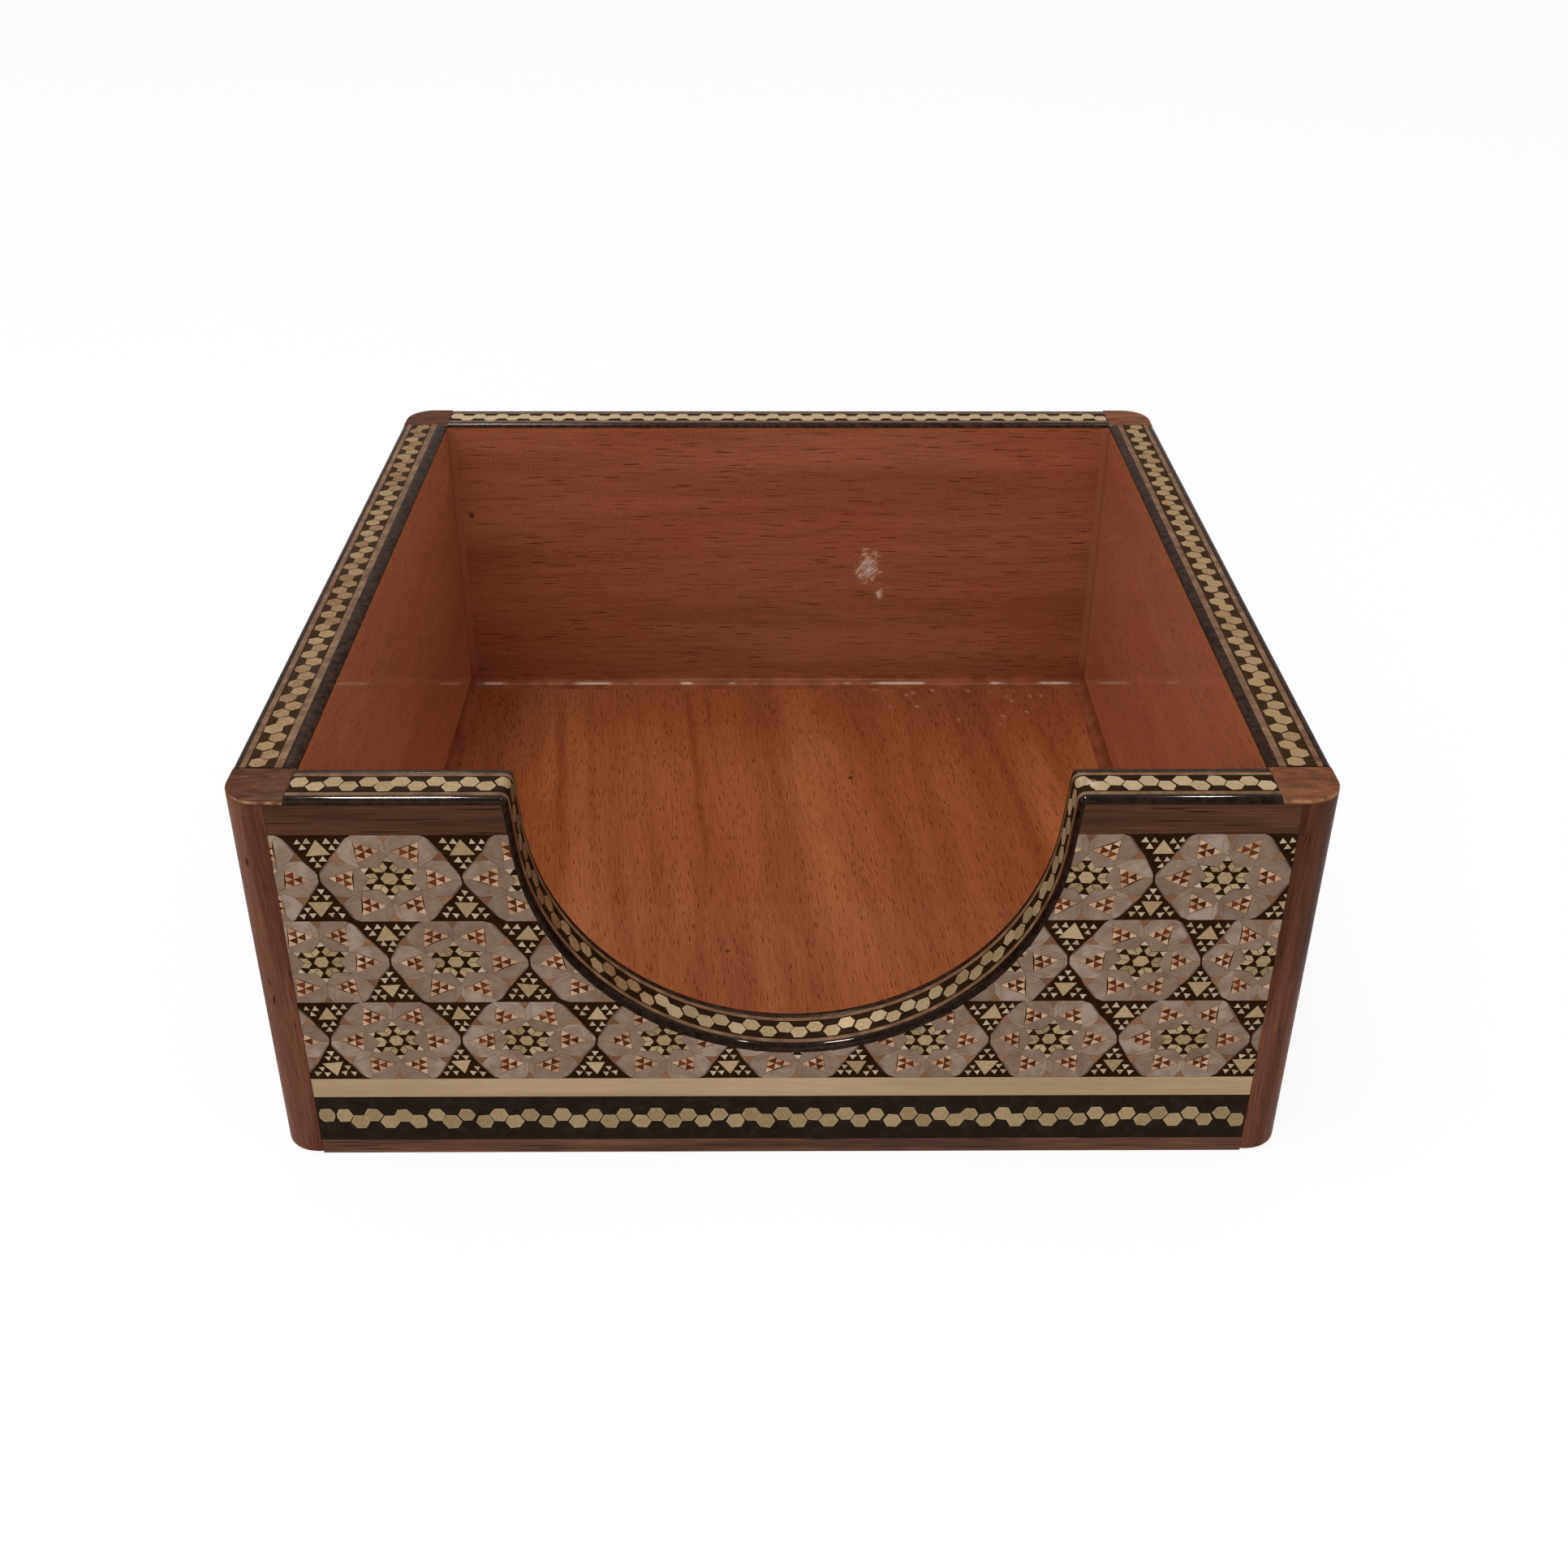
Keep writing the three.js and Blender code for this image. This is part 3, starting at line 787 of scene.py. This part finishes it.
cream_rod = inlay("cream rod", [(148, 128, 102), (170, 151, 124), (190, 173, 147)])[0]
pink_rod = inlay("pink rod", [(155, 117, 88), (178, 140, 109), (200, 165, 135)], speckle=0.6)[0]
red_rod = inlay("red rod", [(58, 25, 11), (82, 36, 17), (108, 51, 28)], speckle=0.6)[0]
tan_rod = inlay("tan rod", [(106, 73, 52), (122, 86, 63), (138, 101, 76)], speckle=1.2)[0]
mosaic_finish = [dark_ground, bone, cream_rod, pink_rod, red_rod, tan_rod, brass]


def around(points, angle):
    sine, cosine = math.sin(angle), math.cos(angle)
    return [(x * cosine - y * sine, x * sine + y * cosine) for x, y in points]


def corner_angles(up, wobble=0.0):
    return [math.radians((90 if up else -90) + wobble + 120 * k) for k in range(3)]


def triangle(x, y, side, up, tall, lots):
    """A triangle about its middle, set a little unevenly; tall is its height against an equal-sided one's."""
    reach, wobble = side / ROOT * lots.uniform(0.9, 1.06), stray(lots, 6)
    x, y = x + stray(lots, 0.05) * side, y + stray(lots, 0.05) * side
    return [(x + reach * math.cos(a), y + reach * tall * math.sin(a)) for a in corner_angles(up, wobble)]


def red_triangle():
    """Nine small rods: six pale ones that point outwards, and three red ones between them."""
    tiles, rows = [], 3
    step = (RED_TIP - RED_BASE) / rows
    half = step / ROOT
    for row in range(rows):
        base = RED_BASE + step * row
        for k in range(rows - row):
            y = half * (2 * k - (rows - row - 1))
            tiles.append(([(base, y - half), (base + step, y), (base, y + half)], PINK))
            if k < rows - row - 1:
                tiles.append(([(base, y + half), (base + step, y), (base + step, y + 2 * half)], RED))
    return tiles


def star_tiles(lots):
    """One star rod's tiles about its middle, in shares of its half width: (outline, material, shade)."""
    twist = stray(lots, 0.09)
    half_base = (RED_TIP - RED_BASE) / ROOT
    middle = (RED_TIP + 2 * RED_BASE) / 3

    def core(points, turn):
        return [(x * STAR_UNIT, y * STAR_UNIT * STAR_FLAT) for x, y in around(points, turn + twist)]

    tiles = [(core([(x, y * 1.1) for x, y in hexagon(0, 0, 0.93, 0, lots)], 0), BRASS, lots.uniform(0.3, 0.8))]
    for k in range(6):
        turn = math.pi / 3 * k
        petal = lots.uniform(0.1, 0.9)
        for flip in (1, -1):
            half = [(1.06, 0), (2.0, 0), (2.47, 0.82 * flip), (1.53, 0.82 * flip)]
            tiles.append((core(half[::flip], turn), BRASS, petal))
        tiles.append((core([(2.62, -0.5), (2 * ROOT, 0), (2.62, 0.5)], turn + math.pi / 6), CREAM, lots.uniform(0, 1)))
        lean, nudge = stray(lots, 0.1), (stray(lots, 0.012), stray(lots, 0.015))

        def red(points):
            """Carries a spot of the upright red triangle to where this one was set."""
            leaned = around([(x - middle, y) for x, y in points], lean)
            return around([(x + middle + nudge[0], y + nudge[1]) for x, y in leaned], turn)

        base_ends = red([(RED_BASE, -half_base), (RED_BASE, half_base)])
        inner = core([(2, 0), (3, -ROOT)], turn) + base_ends + core([(3, ROOT)], turn)
        tiles.append((inner, BONE, lots.uniform(0.2, 0.6)))
        # The third number of a bone's corner is how clean it is; stain gathers along the open edges.
        for flip in (1, -1):
            mid = turn + math.pi / 6 * flip
            shade, open_edge = lots.uniform(0.25, 0.95), 0.9 if abs(math.sin(mid)) > 0.99 else 0.0
            corner, tip_end = base_ends[flip > 0] + (1.0,), core([(3, ROOT * flip)], turn)[0] + (1.0,)
            notch = around([(BONE_EDGE - TAN_DEPTH, 0)], mid)[0] + (0.9,)
            ear = around([(BONE_EDGE, -TAN_HALF * flip)], mid)[0] + (open_edge,)
            end = around([(BONE_EDGE * 2 / ROOT, 0)], turn)[0] + (open_edge,)
            apex = red([(RED_TIP, 0)])[0] + (0.7,)
            for outline in ([tip_end, corner, ear, notch], [corner, apex, end, ear]):
                tiles.append((outline[::flip], BONE, shade))
        wedge = [(BONE_EDGE - TAN_DEPTH, 0), (BONE_EDGE, -TAN_HALF), (BONE_EDGE, TAN_HALF)]
        tiles.append((around(wedge, turn + math.pi / 6), TAN, lots.uniform(0, 1)))
        tiles += [(red(outline), material, lots.uniform(0, 1)) for outline, material in red_triangle()]
    return tiles


def gap_tiles(up, lots):
    """The rods let into one black triangle, about its middle: a brass heart and three clusters."""
    tiles = [(triangle(0, 0, HEART_SIDE, not up, 1.05, lots), BRASS, lots.uniform(0.35, 0.9))]
    away = CLUSTER_STEP / ROOT
    for toward in corner_angles(up):
        x, y = CLUSTER_REACH * math.cos(toward), CLUSTER_REACH * math.sin(toward)
        for angle in corner_angles(up):
            spot = triangle(x + away * math.cos(angle), y + away * math.sin(angle), CLUSTER_SIDE, not up, 1.12, lots)
            tiles.append((spot, CREAM, lots.uniform(0.2, 1.0)))
    return tiles


def rounded_bone(outline):
    """Takes the sharp corners off a star's bone edge."""
    for k in range(6):
        for lean, limit in ((-15, BONE_TIP - BONE_ROUNDING), (0, BONE_TIP), (15, BONE_TIP - BONE_ROUNDING)):
            angle = math.radians(60 * k + lean)
            outline = clip(outline, math.cos(angle), math.sin(angle), limit) if len(outline) > 2 else []
    return outline


def side_reach(radius, height):
    """How far the opening's leaning side stands from its middle; it runs on from the arc."""
    return radius / math.cos(CUTOUT_LEAN) + (height - cutout_level) * math.tan(CUTOUT_LEAN)


def cutout_arc(radius, angles):
    return [(cutout_middle + radius * math.cos(a), cutout_level + radius * math.sin(a)) for a in angles]


panel_low, panel_high = (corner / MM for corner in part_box("back_mosaic_panel"))
panel_half, panel_depth = panel_high.x, panel_high.y - panel_low.y
row_height = (panel_high.z - panel_low.z) / len(STAR_ROWS["front"])
star_half = STAR_PITCH / 2
squeeze = row_height / (ROOT * star_half)


def panel_ground(side):
    """The outline of a panel, with the opening taken out of the front one."""
    low, high = panel_low.z, panel_high.z
    outline = [(-panel_half, high), (-panel_half, low), (panel_half, low), (panel_half, high)]
    if side != "front":
        return outline
    radius = cutout_radius + CUTOUT_EDGING
    reach = side_reach(radius, high)
    arc = cutout_arc(radius, quarter(CUTOUT_STEPS, -CUTOUT_LEAN, 2 * CUTOUT_LEAN - math.pi))
    return outline + [(cutout_middle + reach, high), *arc, (cutout_middle - reach, high)]


def clear_of_cutout(outline):
    """Cuts a tile back to the opening's edge."""
    radius = cutout_radius + CUTOUT_EDGING - GLUE
    u = sum(p[0] for p in outline) / len(outline) - cutout_middle
    v = sum(p[1] for p in outline) / len(outline) - cutout_level
    below = max(math.atan2(-v, abs(u)), CUTOUT_LEAN)
    nx, ny = -math.copysign(math.cos(below), u), math.sin(below)
    return clip(outline, nx, ny, -radius + nx * cutout_middle + ny * cutout_level)


def uneven(u, v, phase):
    """Lets the rows wander a little, as rods glued by hand do."""
    sway = 0.15 * math.sin(0.75 * v + 0.35 * u + phase[0]) + 0.06 * math.sin(1.9 * v + 0.8 * u + phase[1])
    rise = 0.12 * math.sin(0.8 * u + phase[2]) + 0.05 * math.sin(1.7 * u - 0.6 * v + phase[3])
    return u + sway, v + rise


for side, quarters in QUARTERS.items():
    lots = random.Random(f"{side} mosaic")
    phase = [lots.uniform(0, 6.28) for _ in range(4)]
    limits = -panel_half, panel_half, panel_low.z, panel_high.z
    sheet = TileSheet(side_to_box(box_half, quarters), flat_map(*limits))
    sheet.ground(panel_ground(side), BLACK, 0.4, panel_depth, limits)
    for row, centres in enumerate(STAR_ROWS[side]):
        centres = (centres[0] - STAR_PITCH, *centres, centres[-1] + STAR_PITCH)
        middle = panel_high.z - (row + 0.5) * row_height
        for before, centre, following in zip(centres, centres[1:], centres[2:]):
            units = [(*tile, centre, middle) for tile in star_tiles(lots)]
            for up in (False, True):
                third = star_half / ROOT * squeeze * (-1 if up else 1)
                gap = (centre + following) / 2 + GAP_SHIFT[up] + stray(lots, 0.3)
                units += [(*tile, gap, middle + third) for tile in gap_tiles(up, lots)]
            for outline, material, shade, at_u, at_v in units:
                if material in (BONE, TAN):
                    outline = rounded_bone(outline)
                if len(outline) < 3:
                    continue
                spots = []
                for x, y, *edge in outline:
                    half_width = star_half
                    if at_u == centre:
                        half_width = (centre - before if x < 0 else following - centre) / 2
                    spots.append((*uneven(at_u + x * half_width, at_v + y * star_half * squeeze, phase), *edge))
                spots = shrink(spots, SEAMS[material])
                kept = within(spots, -panel_half, panel_half, middle - row_height / 2, middle + row_height / 2)
                if kept and side == "front":
                    kept = clear_of_cutout(kept)
                if worth_laying(kept):
                    sheet.tile(kept, material, shade)
    panel = sheet.piece(f"{side}_star_mosaic", mosaic_finish)
    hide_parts(f"{side}_mosaic_panel")


# Rim blocks: small squares of walnut that close the rim's corners, end grain up.
# Their rings and open pores show on the top, and their edges are rounded over.
# Each is glued down on a post and the wall ends beside it.
BLOCK_EASE, BLOCK_STEPS = 0.4, 4
block_low, block_high = (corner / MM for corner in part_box("rim_block_front_left"))
end_walnut, shader = lacquered("end grain walnut", 0.6, 0.01, 0.15, specular=0.015)
vector = grain_vector(shader, "X")
across, height = (split(vector)[label] for label in "XZ")
rings = noise(stretch(vector, 0.16, 0.5, 0.3), 1.0, 3.0, 0.6, 1.5)
mottle = noise(vector, 0.8, 4.0, 0.65)
colour = mix(fade(rings, 0.32, 0.68), tone(80, 46, 31), tone(122, 76, 51))
colour = mix(fade(mottle, 0.35, 0.7, 0.0, 0.6), colour, tone(100, 62, 41))
colour = mix(fade(cell_distance(vector, 2.4), 0.22, 0.08, 0.0, 0.55), colour, tone(58, 34, 26))
colour = shaded(colour, fade(across, -50, 50, 0.76, 1.5))
rubbed = fade(calc("ABSOLUTE", calc("SUBTRACT", height, rim_top - 0.3)), 0.28, 0.08)
colour = mix(times(rubbed, fade(mottle, 0.4, 0.6, 0.1, 0.7)), colour, tone(176, 138, 112))
scratches = noise(stretch(vector, 0.35, 5.0, 0.35), 1.0, 3.0, 0.6, 0.6)
paint(shader, mix(fade(scratches, 0.6, 0.7, 0.0, 0.4), colour, tone(176, 140, 124)))
wear_film(shader, vector, 0.5, 0.7, bump=0.25, wave=1.6)
outline = corner_outline(box_half, block_high.x - block_low.x, POST_RADIUS)
levels = [at_height(outline, block_low.z)]
for angle in quarter(BLOCK_STEPS):
    drawn = shrink(outline, BLOCK_EASE * (1 - math.cos(angle)))
    levels.append(at_height(drawn, rim_top - BLOCK_EASE + BLOCK_EASE * math.sin(angle)))
for corner, quarters in CORNERS.items():
    points, faces = sweep(levels)
    block = make_piece(f"block_{corner}", turned(points, quarters), faces, [end_walnut])
    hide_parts(f"rim_block_{corner}")


# Rim edging: a black bead, a band with a brass chain between two tan lines, and a second black bead.
# The strips are wood, glued flat on the walls and bent round the cut-out's edge.
# Both beads are rounded over to the hand, and the lacquer is thickest on them.
CORNER_ROUND = 1.25
ARC_STEPS, BEND_STEPS, BEAD_STEPS = 96, 6, 7
# Widths across the rim from outside: black bead, tan line, tan line, black bead; the chain takes what is left.
EDGING = {"front": (1.5, 0.7, 0.7, 1.6), "right": (1.1, 0.8, 1.0, 1.5), "back": (1.5, 0.7, 0.7, 1.6),
          "left": (0.9, 0.8, 1.1, 1.9)}
OUTER_CREST, INNER_CREST = 0.9, 0.94  # where a bead is highest, as a share of its width
BEAD_FOOT, BEAD_END = 0.12, 0.95  # height of a bead where it starts to round over, and at its band
GROUND, BRIGHT, LINE, DULL_SHADED = range(4)  # finishes of a chain band; the last is dull brass in painted shade
GROUND_SHADE = {"front": 0.5, "right": 1.1, "back": 0.5, "left": 1.1}
RIM_HEXAGON = {"front": 1.36, "right": 1.36, "back": 1.5, "left": 1.36}
RIM_PITCH, RIM_SWING, RIM_OVERLAP, RIM_END = 2.3, 0.58, 0.14, 0.1
# Each side rim's chain finish and shade range. They paint light and shade: the side rims take the dull brass in painted
# shade, and the right and back rims are painted lighter, a painted reflection at a grazing view.
RIM_CHAIN = {"left": (DULL_SHADED, (0.55, 1.0)), "back": (BRIGHT, (0.9, 1.4)), "right": (DULL_SHADED, (0.8, 1.3))}
FLAT_REACH, BEND_REACH = 1.4, 0.4  # how far the front's chains run on into the bends, from above and from below
LINE_MAPS = ((0.0, 0.08), (0.1, 0.18), (0.2, 0.28))  # shares of the bake map, with the chain above them
CHAIN_MAP = 0.3
strip_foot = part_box("rim_back_outer_bead")[0].z / MM
wall = box_half - well_half


def cutout_path(low, high):
    """Along the front rim, down into the cut-out, round it and up again: (surface x, z), (foot x, z)."""
    deep = cutout_radius + CUTOUT_EDGING - GLUE
    round_level = rim_top - CORNER_ROUND
    round_reach = side_reach(cutout_radius, round_level) + CORNER_ROUND / math.cos(CUTOUT_LEAN)
    foot_reach = side_reach(deep, strip_foot)
    corner = [(round_reach - CORNER_ROUND * math.cos(a), round_level + CORNER_ROUND * math.sin(a))
              for a in quarter(BEND_STEPS, math.pi / 2, CUTOUT_LEAN - math.pi / 2)]
    angles = quarter(ARC_STEPS, math.pi + CUTOUT_LEAN, math.pi - 2 * CUTOUT_LEAN)
    spots = [((low, rim_top), (low, strip_foot))]
    spots += [((cutout_middle - x, z), (cutout_middle - foot_reach, strip_foot)) for x, z in corner]
    spots += zip(cutout_arc(cutout_radius, angles), cutout_arc(deep, angles))
    spots += [((cutout_middle + x, z), (cutout_middle + foot_reach, strip_foot)) for x, z in corner[::-1]]
    return spots + [((high, rim_top), (high, strip_foot))]


def strip_rings(path, profile):
    """One ring of a strip's profile at each spot: the profile gives its distance from the face and its height."""
    return [[(foot_x + (x - foot_x) * h, -box_half + t, foot_z + (z - foot_z) * h) for t, h in profile]
            for (x, z), (foot_x, foot_z) in path]


def bead_profile(face, crest, end):
    """A strip rounded over towards face, with its crest further in."""
    over = [(crest - (crest - face) * math.cos(a), BEAD_FOOT + (1 - BEAD_FOOT) * math.sin(a))
            for a in quarter(BEAD_STEPS)]
    profile = [(face, 0.0)] + over + [(end, BEAD_END), (end, 0.0)]
    return profile[::-1] if crest > face else profile


def black_lacquer(name, roughness, specular, start, dark, pale, **film):
    material, shader = lacquered(name, roughness, 0.0, 0.05, specular)
    vector = grain_vector(shader, "X")
    paint(shader, mix(fade(noise(vector, 0.8, 4.0, 0.65), start, 0.7), tone(*dark), tone(*pale)))
    wear_film(shader, vector, **film)
    return material


bead_black = black_lacquer("bead black", 0.1, 0.06, 0.35, (18, 11, 8), (44, 29, 22), low=0.05, high=0.1, bump=0.03,
                           wave=2.0)
worn_black = black_lacquer("worn bead black", 0.3, 0.02, 0.3, (22, 14, 9), (66, 44, 32), low=0.16, high=0.3)
# Brass in painted shade, darker and a little less glossy, for the cut-out's left side and the side rims.
dull_shaded_brass = inlay("dull shaded brass wire", [(104, 68, 44), (134, 99, 69), (170, 141, 104)], speckle=1.2, roughness=0.5,
                   coat=0.0, specular=0.02)[0]
# The tan line wood carries the painted reflection on the front rim.
tan_wood = inlay("tan line wood", [(85, 58, 39), (122, 90, 65), (157, 126, 97)], speckle=1.8, speckle_size=2.2,
                 roughness=0.6, specular=0.03, glinting=True)[0]


def lay_band(side, path, lengths, runs, folds, quarters, lots, rims):
    """A chain band with its two tan lines along a path; runs are the stretches that carry hexagons."""
    outer, tan_near, tan_far, inner = EDGING[side]
    band_near, band_far = outer + GLUE, wall - inner
    chain_near, chain_far = band_near + tan_near, band_far - tan_far

    def to_box(u, v, height):
        k = min(max(bisect.bisect_right(lengths, u) - 1, 0), len(path) - 2)
        share = (u - lengths[k]) / (lengths[k + 1] - lengths[k])
        (ax, az), (bx, bz) = path[k][0], path[k + 1][0]
        length = math.hypot(bx - ax, bz - az)
        nx, nz = -(bz - az) / length, (bx - ax) / length
        x, z = ax + (bx - ax) * share + nx * height, az + (bz - az) * share + nz * height
        return turned([(x, -box_half + v, z)], quarters)[0]

    sheet = TileSheet(to_box, flat_map(0, lengths[-1], band_near, band_far, CHAIN_MAP))
    strips = ((band_near, chain_near, 0.0, LINE, 0.5), (chain_near, chain_far, GROUND_DROP, GROUND, GROUND_SHADE[side]),
              (chain_far, band_far, 0.0, LINE, 0.5))
    for (low, high, drop, finish, shade), shares in zip(strips, LINE_MAPS):
        profile = [(low, 0.0), (high, 0.0), (high, 1.0 - drop), (low, 1.0 - drop)]
        points, faces = sweep(strip_rings(path, profile))
        start, size, where = len(sheet.points), len(profile), flat_map(0, lengths[-1], low, high, *shares)
        sheet.points.extend(turned(points, quarters))
        sheet.edges.extend([1.0] * len(points))
        for face in faces:
            spots = [where(lengths[index // size], profile[index % size][0]) for index in face]
            sheet.face(tuple(start + index for index in face), finish, shade, spots)
    for low, high, finish, shades, *lighten in runs:
        lay_chain(sheet, low, high, (chain_near + chain_far) / 2, finish, lots, RIM_PITCH, RIM_HEXAGON[side], RIM_SWING,
                  chain_near - RIM_OVERLAP, chain_far + RIM_OVERLAP, folds, shades, *lighten)
    band = sheet.piece(f"{side}_chain", [dark_ground, brass, tan_wood, dull_shaded_brass])
    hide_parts(*(f"{rim}_chain_band" for rim in rims))


def lay_bead(name, path, profile, material, quarters, node_names):
    points, faces = sweep(strip_rings(path, profile))
    bead = make_piece(name, turned(points, quarters), faces, [material], smooth=40)
    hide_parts(*node_names)


run_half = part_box("rim_back_chain_band")[1].x / MM
for side, quarters in QUARTERS.items():
    lots = random.Random(f"{side} rim")
    outer, *_, inner = EDGING[side]
    front = side == "front"
    rims = ["rim_front_left", "rim_cutout", "rim_front_right"] if front else [f"rim_{side}"]
    path = [((x, rim_top), (x, strip_foot)) for x in (-run_half, run_half)]
    if front:
        path = cutout_path(-run_half, run_half)
    lengths = [0.0]
    for (here, _), (there, _) in zip(path, path[1:]):
        lengths.append(lengths[-1] + math.dist(here, there))
    first, last = lengths[0] + RIM_END, lengths[-1] - RIM_END
    if front:
        bend = BEND_STEPS + 1
        down, rise = lengths[bend] - BEND_REACH, lengths[-1 - bend] + BEND_REACH
        third = (rise - down) / 3
        # The runs' finishes and shade ranges paint light and shade: the cut-out's left side is in painted shade that
        # lightens downwards, its bottom is painted lighter where the brass catches the light, and the flat run right of
        # the cut-out is painted lighter than the one on its left.
        runs = [(first, lengths[1] + FLAT_REACH, BRIGHT, (0.1, 0.6)), (down, down + third, DULL_SHADED, (0.0, 0.35), 0.75),
                (down + third, rise - third, BRIGHT, (0.3, 1.0)), (rise - third, rise, BRIGHT, (0.2, 0.7)),
                (lengths[-2] - FLAT_REACH, last, BRIGHT, (0.6, 1.2))]
        folds = lengths[1:bend + 1] + lengths[-1 - bend:-1]
    else:
        runs, folds = [(first, last, *RIM_CHAIN[side])], []
    lay_bead(f"{side}_outer_bead", path, bead_profile(0.0, outer * OUTER_CREST, outer),
             bead_black if front else worn_black, quarters, [f"{rim}_outer_bead" for rim in rims])
    lay_band(side, path, lengths, runs, folds, quarters, lots, rims)
    lay_bead(f"{side}_inner_bead", path, bead_profile(wall, wall - inner * INNER_CREST, wall - inner + GLUE),
             worn_black, quarters, [f"{rim}_inner_bead" for rim in rims])


# The stage: a plain white floor that keeps the box's soft shadow, and a white surround.
# Two soft lamps stand in for the room, and two small ones draw the bright lines on the beads.
# The camera stands where the photograph was taken.
FLOOR_SIZE, FLOOR_DROP = 8.0, 0.0001
FLOOR_GLOW, GLOW_SHARE = 1.08, 0.8
ROOM_LIGHT, ROOM_SEEN = 0.5, 1.0  # how bright the surround shines, and how bright it looks
half = FLOOR_SIZE / 2
floor_mesh = bpy.data.meshes.new("studio_floor")
floor_mesh.from_pydata([(-half, -half, 0), (half, -half, 0), (half, half, 0), (-half, half, 0)], [], [(0, 1, 2, 3)])
floor = bpy.data.objects.new("studio_floor", floor_mesh)
floor.location.z = -FLOOR_DROP
bpy.context.scene.collection.objects.link(floor)


def looked_at(tree):
    """1 where the camera sees a surface, by itself or in a gloss, and 0 where it only lights others."""
    rays = add(tree, "LightPath").outputs
    seen = calc("ADD", rays["Is Camera Ray"], rays["Is Glossy Ray"], clamp=True)
    return calc("ADD", seen, rays["Is Transmission Ray"], clamp=True)


floor_paint = bpy.data.materials.new("floor paint")
floor_paint.use_nodes = True
tree = floor_paint.node_tree
shader = tree.nodes["Principled BSDF"]
shader.inputs["Base Color"].default_value = (0.85, 0.85, 0.85, 1)
shader.inputs["Roughness"].default_value = 0.9
shader.inputs["Specular IOR Level"].default_value = 0.0
glow = add(tree, "Emission", {"Color": (1, 1, 1, 1), "Strength": FLOOR_GLOW}).outputs[0]
blend = add(tree, "MixShader", {0: times(looked_at(tree), GLOW_SHARE), 1: shader.outputs[0], 2: glow}).outputs[0]
link(blend, tree.nodes["Material Output"].inputs["Surface"])
floor_mesh.materials.append(floor_paint)

world = bpy.data.worlds.new("white room")
bpy.context.scene.world = world
world.use_nodes = True
surround = world.node_tree.nodes["Background"].inputs
strength = calc("ADD", ROOM_LIGHT, times(looked_at(world.node_tree), ROOM_SEEN - ROOM_LIGHT))
link(strength, surround["Strength"])
surround["Color"].default_value = (1, 1, 1, 1)


def lamp(name, place_at, aim, width, height, power, only_gloss=False):
    data = bpy.data.lights.new(name, "AREA")
    data.shape, data.size, data.size_y, data.energy = "RECTANGLE", width, height, power
    made = bpy.data.objects.new(name, data)
    made.visible_diffuse = not only_gloss
    made.location = place_at
    made.rotation_mode = "QUATERNION"
    made.rotation_quaternion = (Vector(aim) - Vector(place_at)).to_track_quat("-Z", "Y")
    bpy.context.scene.collection.objects.link(made)


lamp("overhead", (-0.25, -0.3, 1.3), (0, 0, 0.03), 0.9, 0.7, 5.5)
lamp("front", (-0.2, -1.4, 0.55), (0, 0, 0.05), 1.2, 0.5, 6.0)
lamp("left strip", (-0.255, 0.72, 0.92), (0, 0, 0.06), 0.16, 0.12, 15.0, only_gloss=True)
lamp("right strip", (0.3, 0.68, 0.92), (0, 0, 0.06), 0.05, 0.08, 3.0, only_gloss=True)

CAMERA_AT = Vector((-0.001825, -0.272937, 0.186919))
PITCH, YAW, ROLL = math.radians(31.633), math.radians(0.530), math.radians(0.201)
camera_data = bpy.data.cameras.new("photo camera")
camera_data.lens, camera_data.sensor_width = 40.62, 36.0
camera_data.clip_start, camera_data.clip_end = 0.01, 20.0
camera = bpy.data.objects.new("photo camera", camera_data)
bpy.context.scene.collection.objects.link(camera)
forward = Vector((math.sin(YAW) * math.cos(PITCH), math.cos(YAW) * math.cos(PITCH), -math.sin(PITCH)))
right = Vector((math.cos(YAW), -math.sin(YAW), 0))
upward = right.cross(forward)
right, upward = (math.cos(ROLL) * right + math.sin(ROLL) * upward, math.cos(ROLL) * upward - math.sin(ROLL) * right)
camera.matrix_world = Matrix.Translation(CAMERA_AT) @ Matrix((right, upward, -forward)).transposed().to_4x4()
bpy.context.scene.camera = camera
bpy.context.scene.view_settings.view_transform = "Standard"
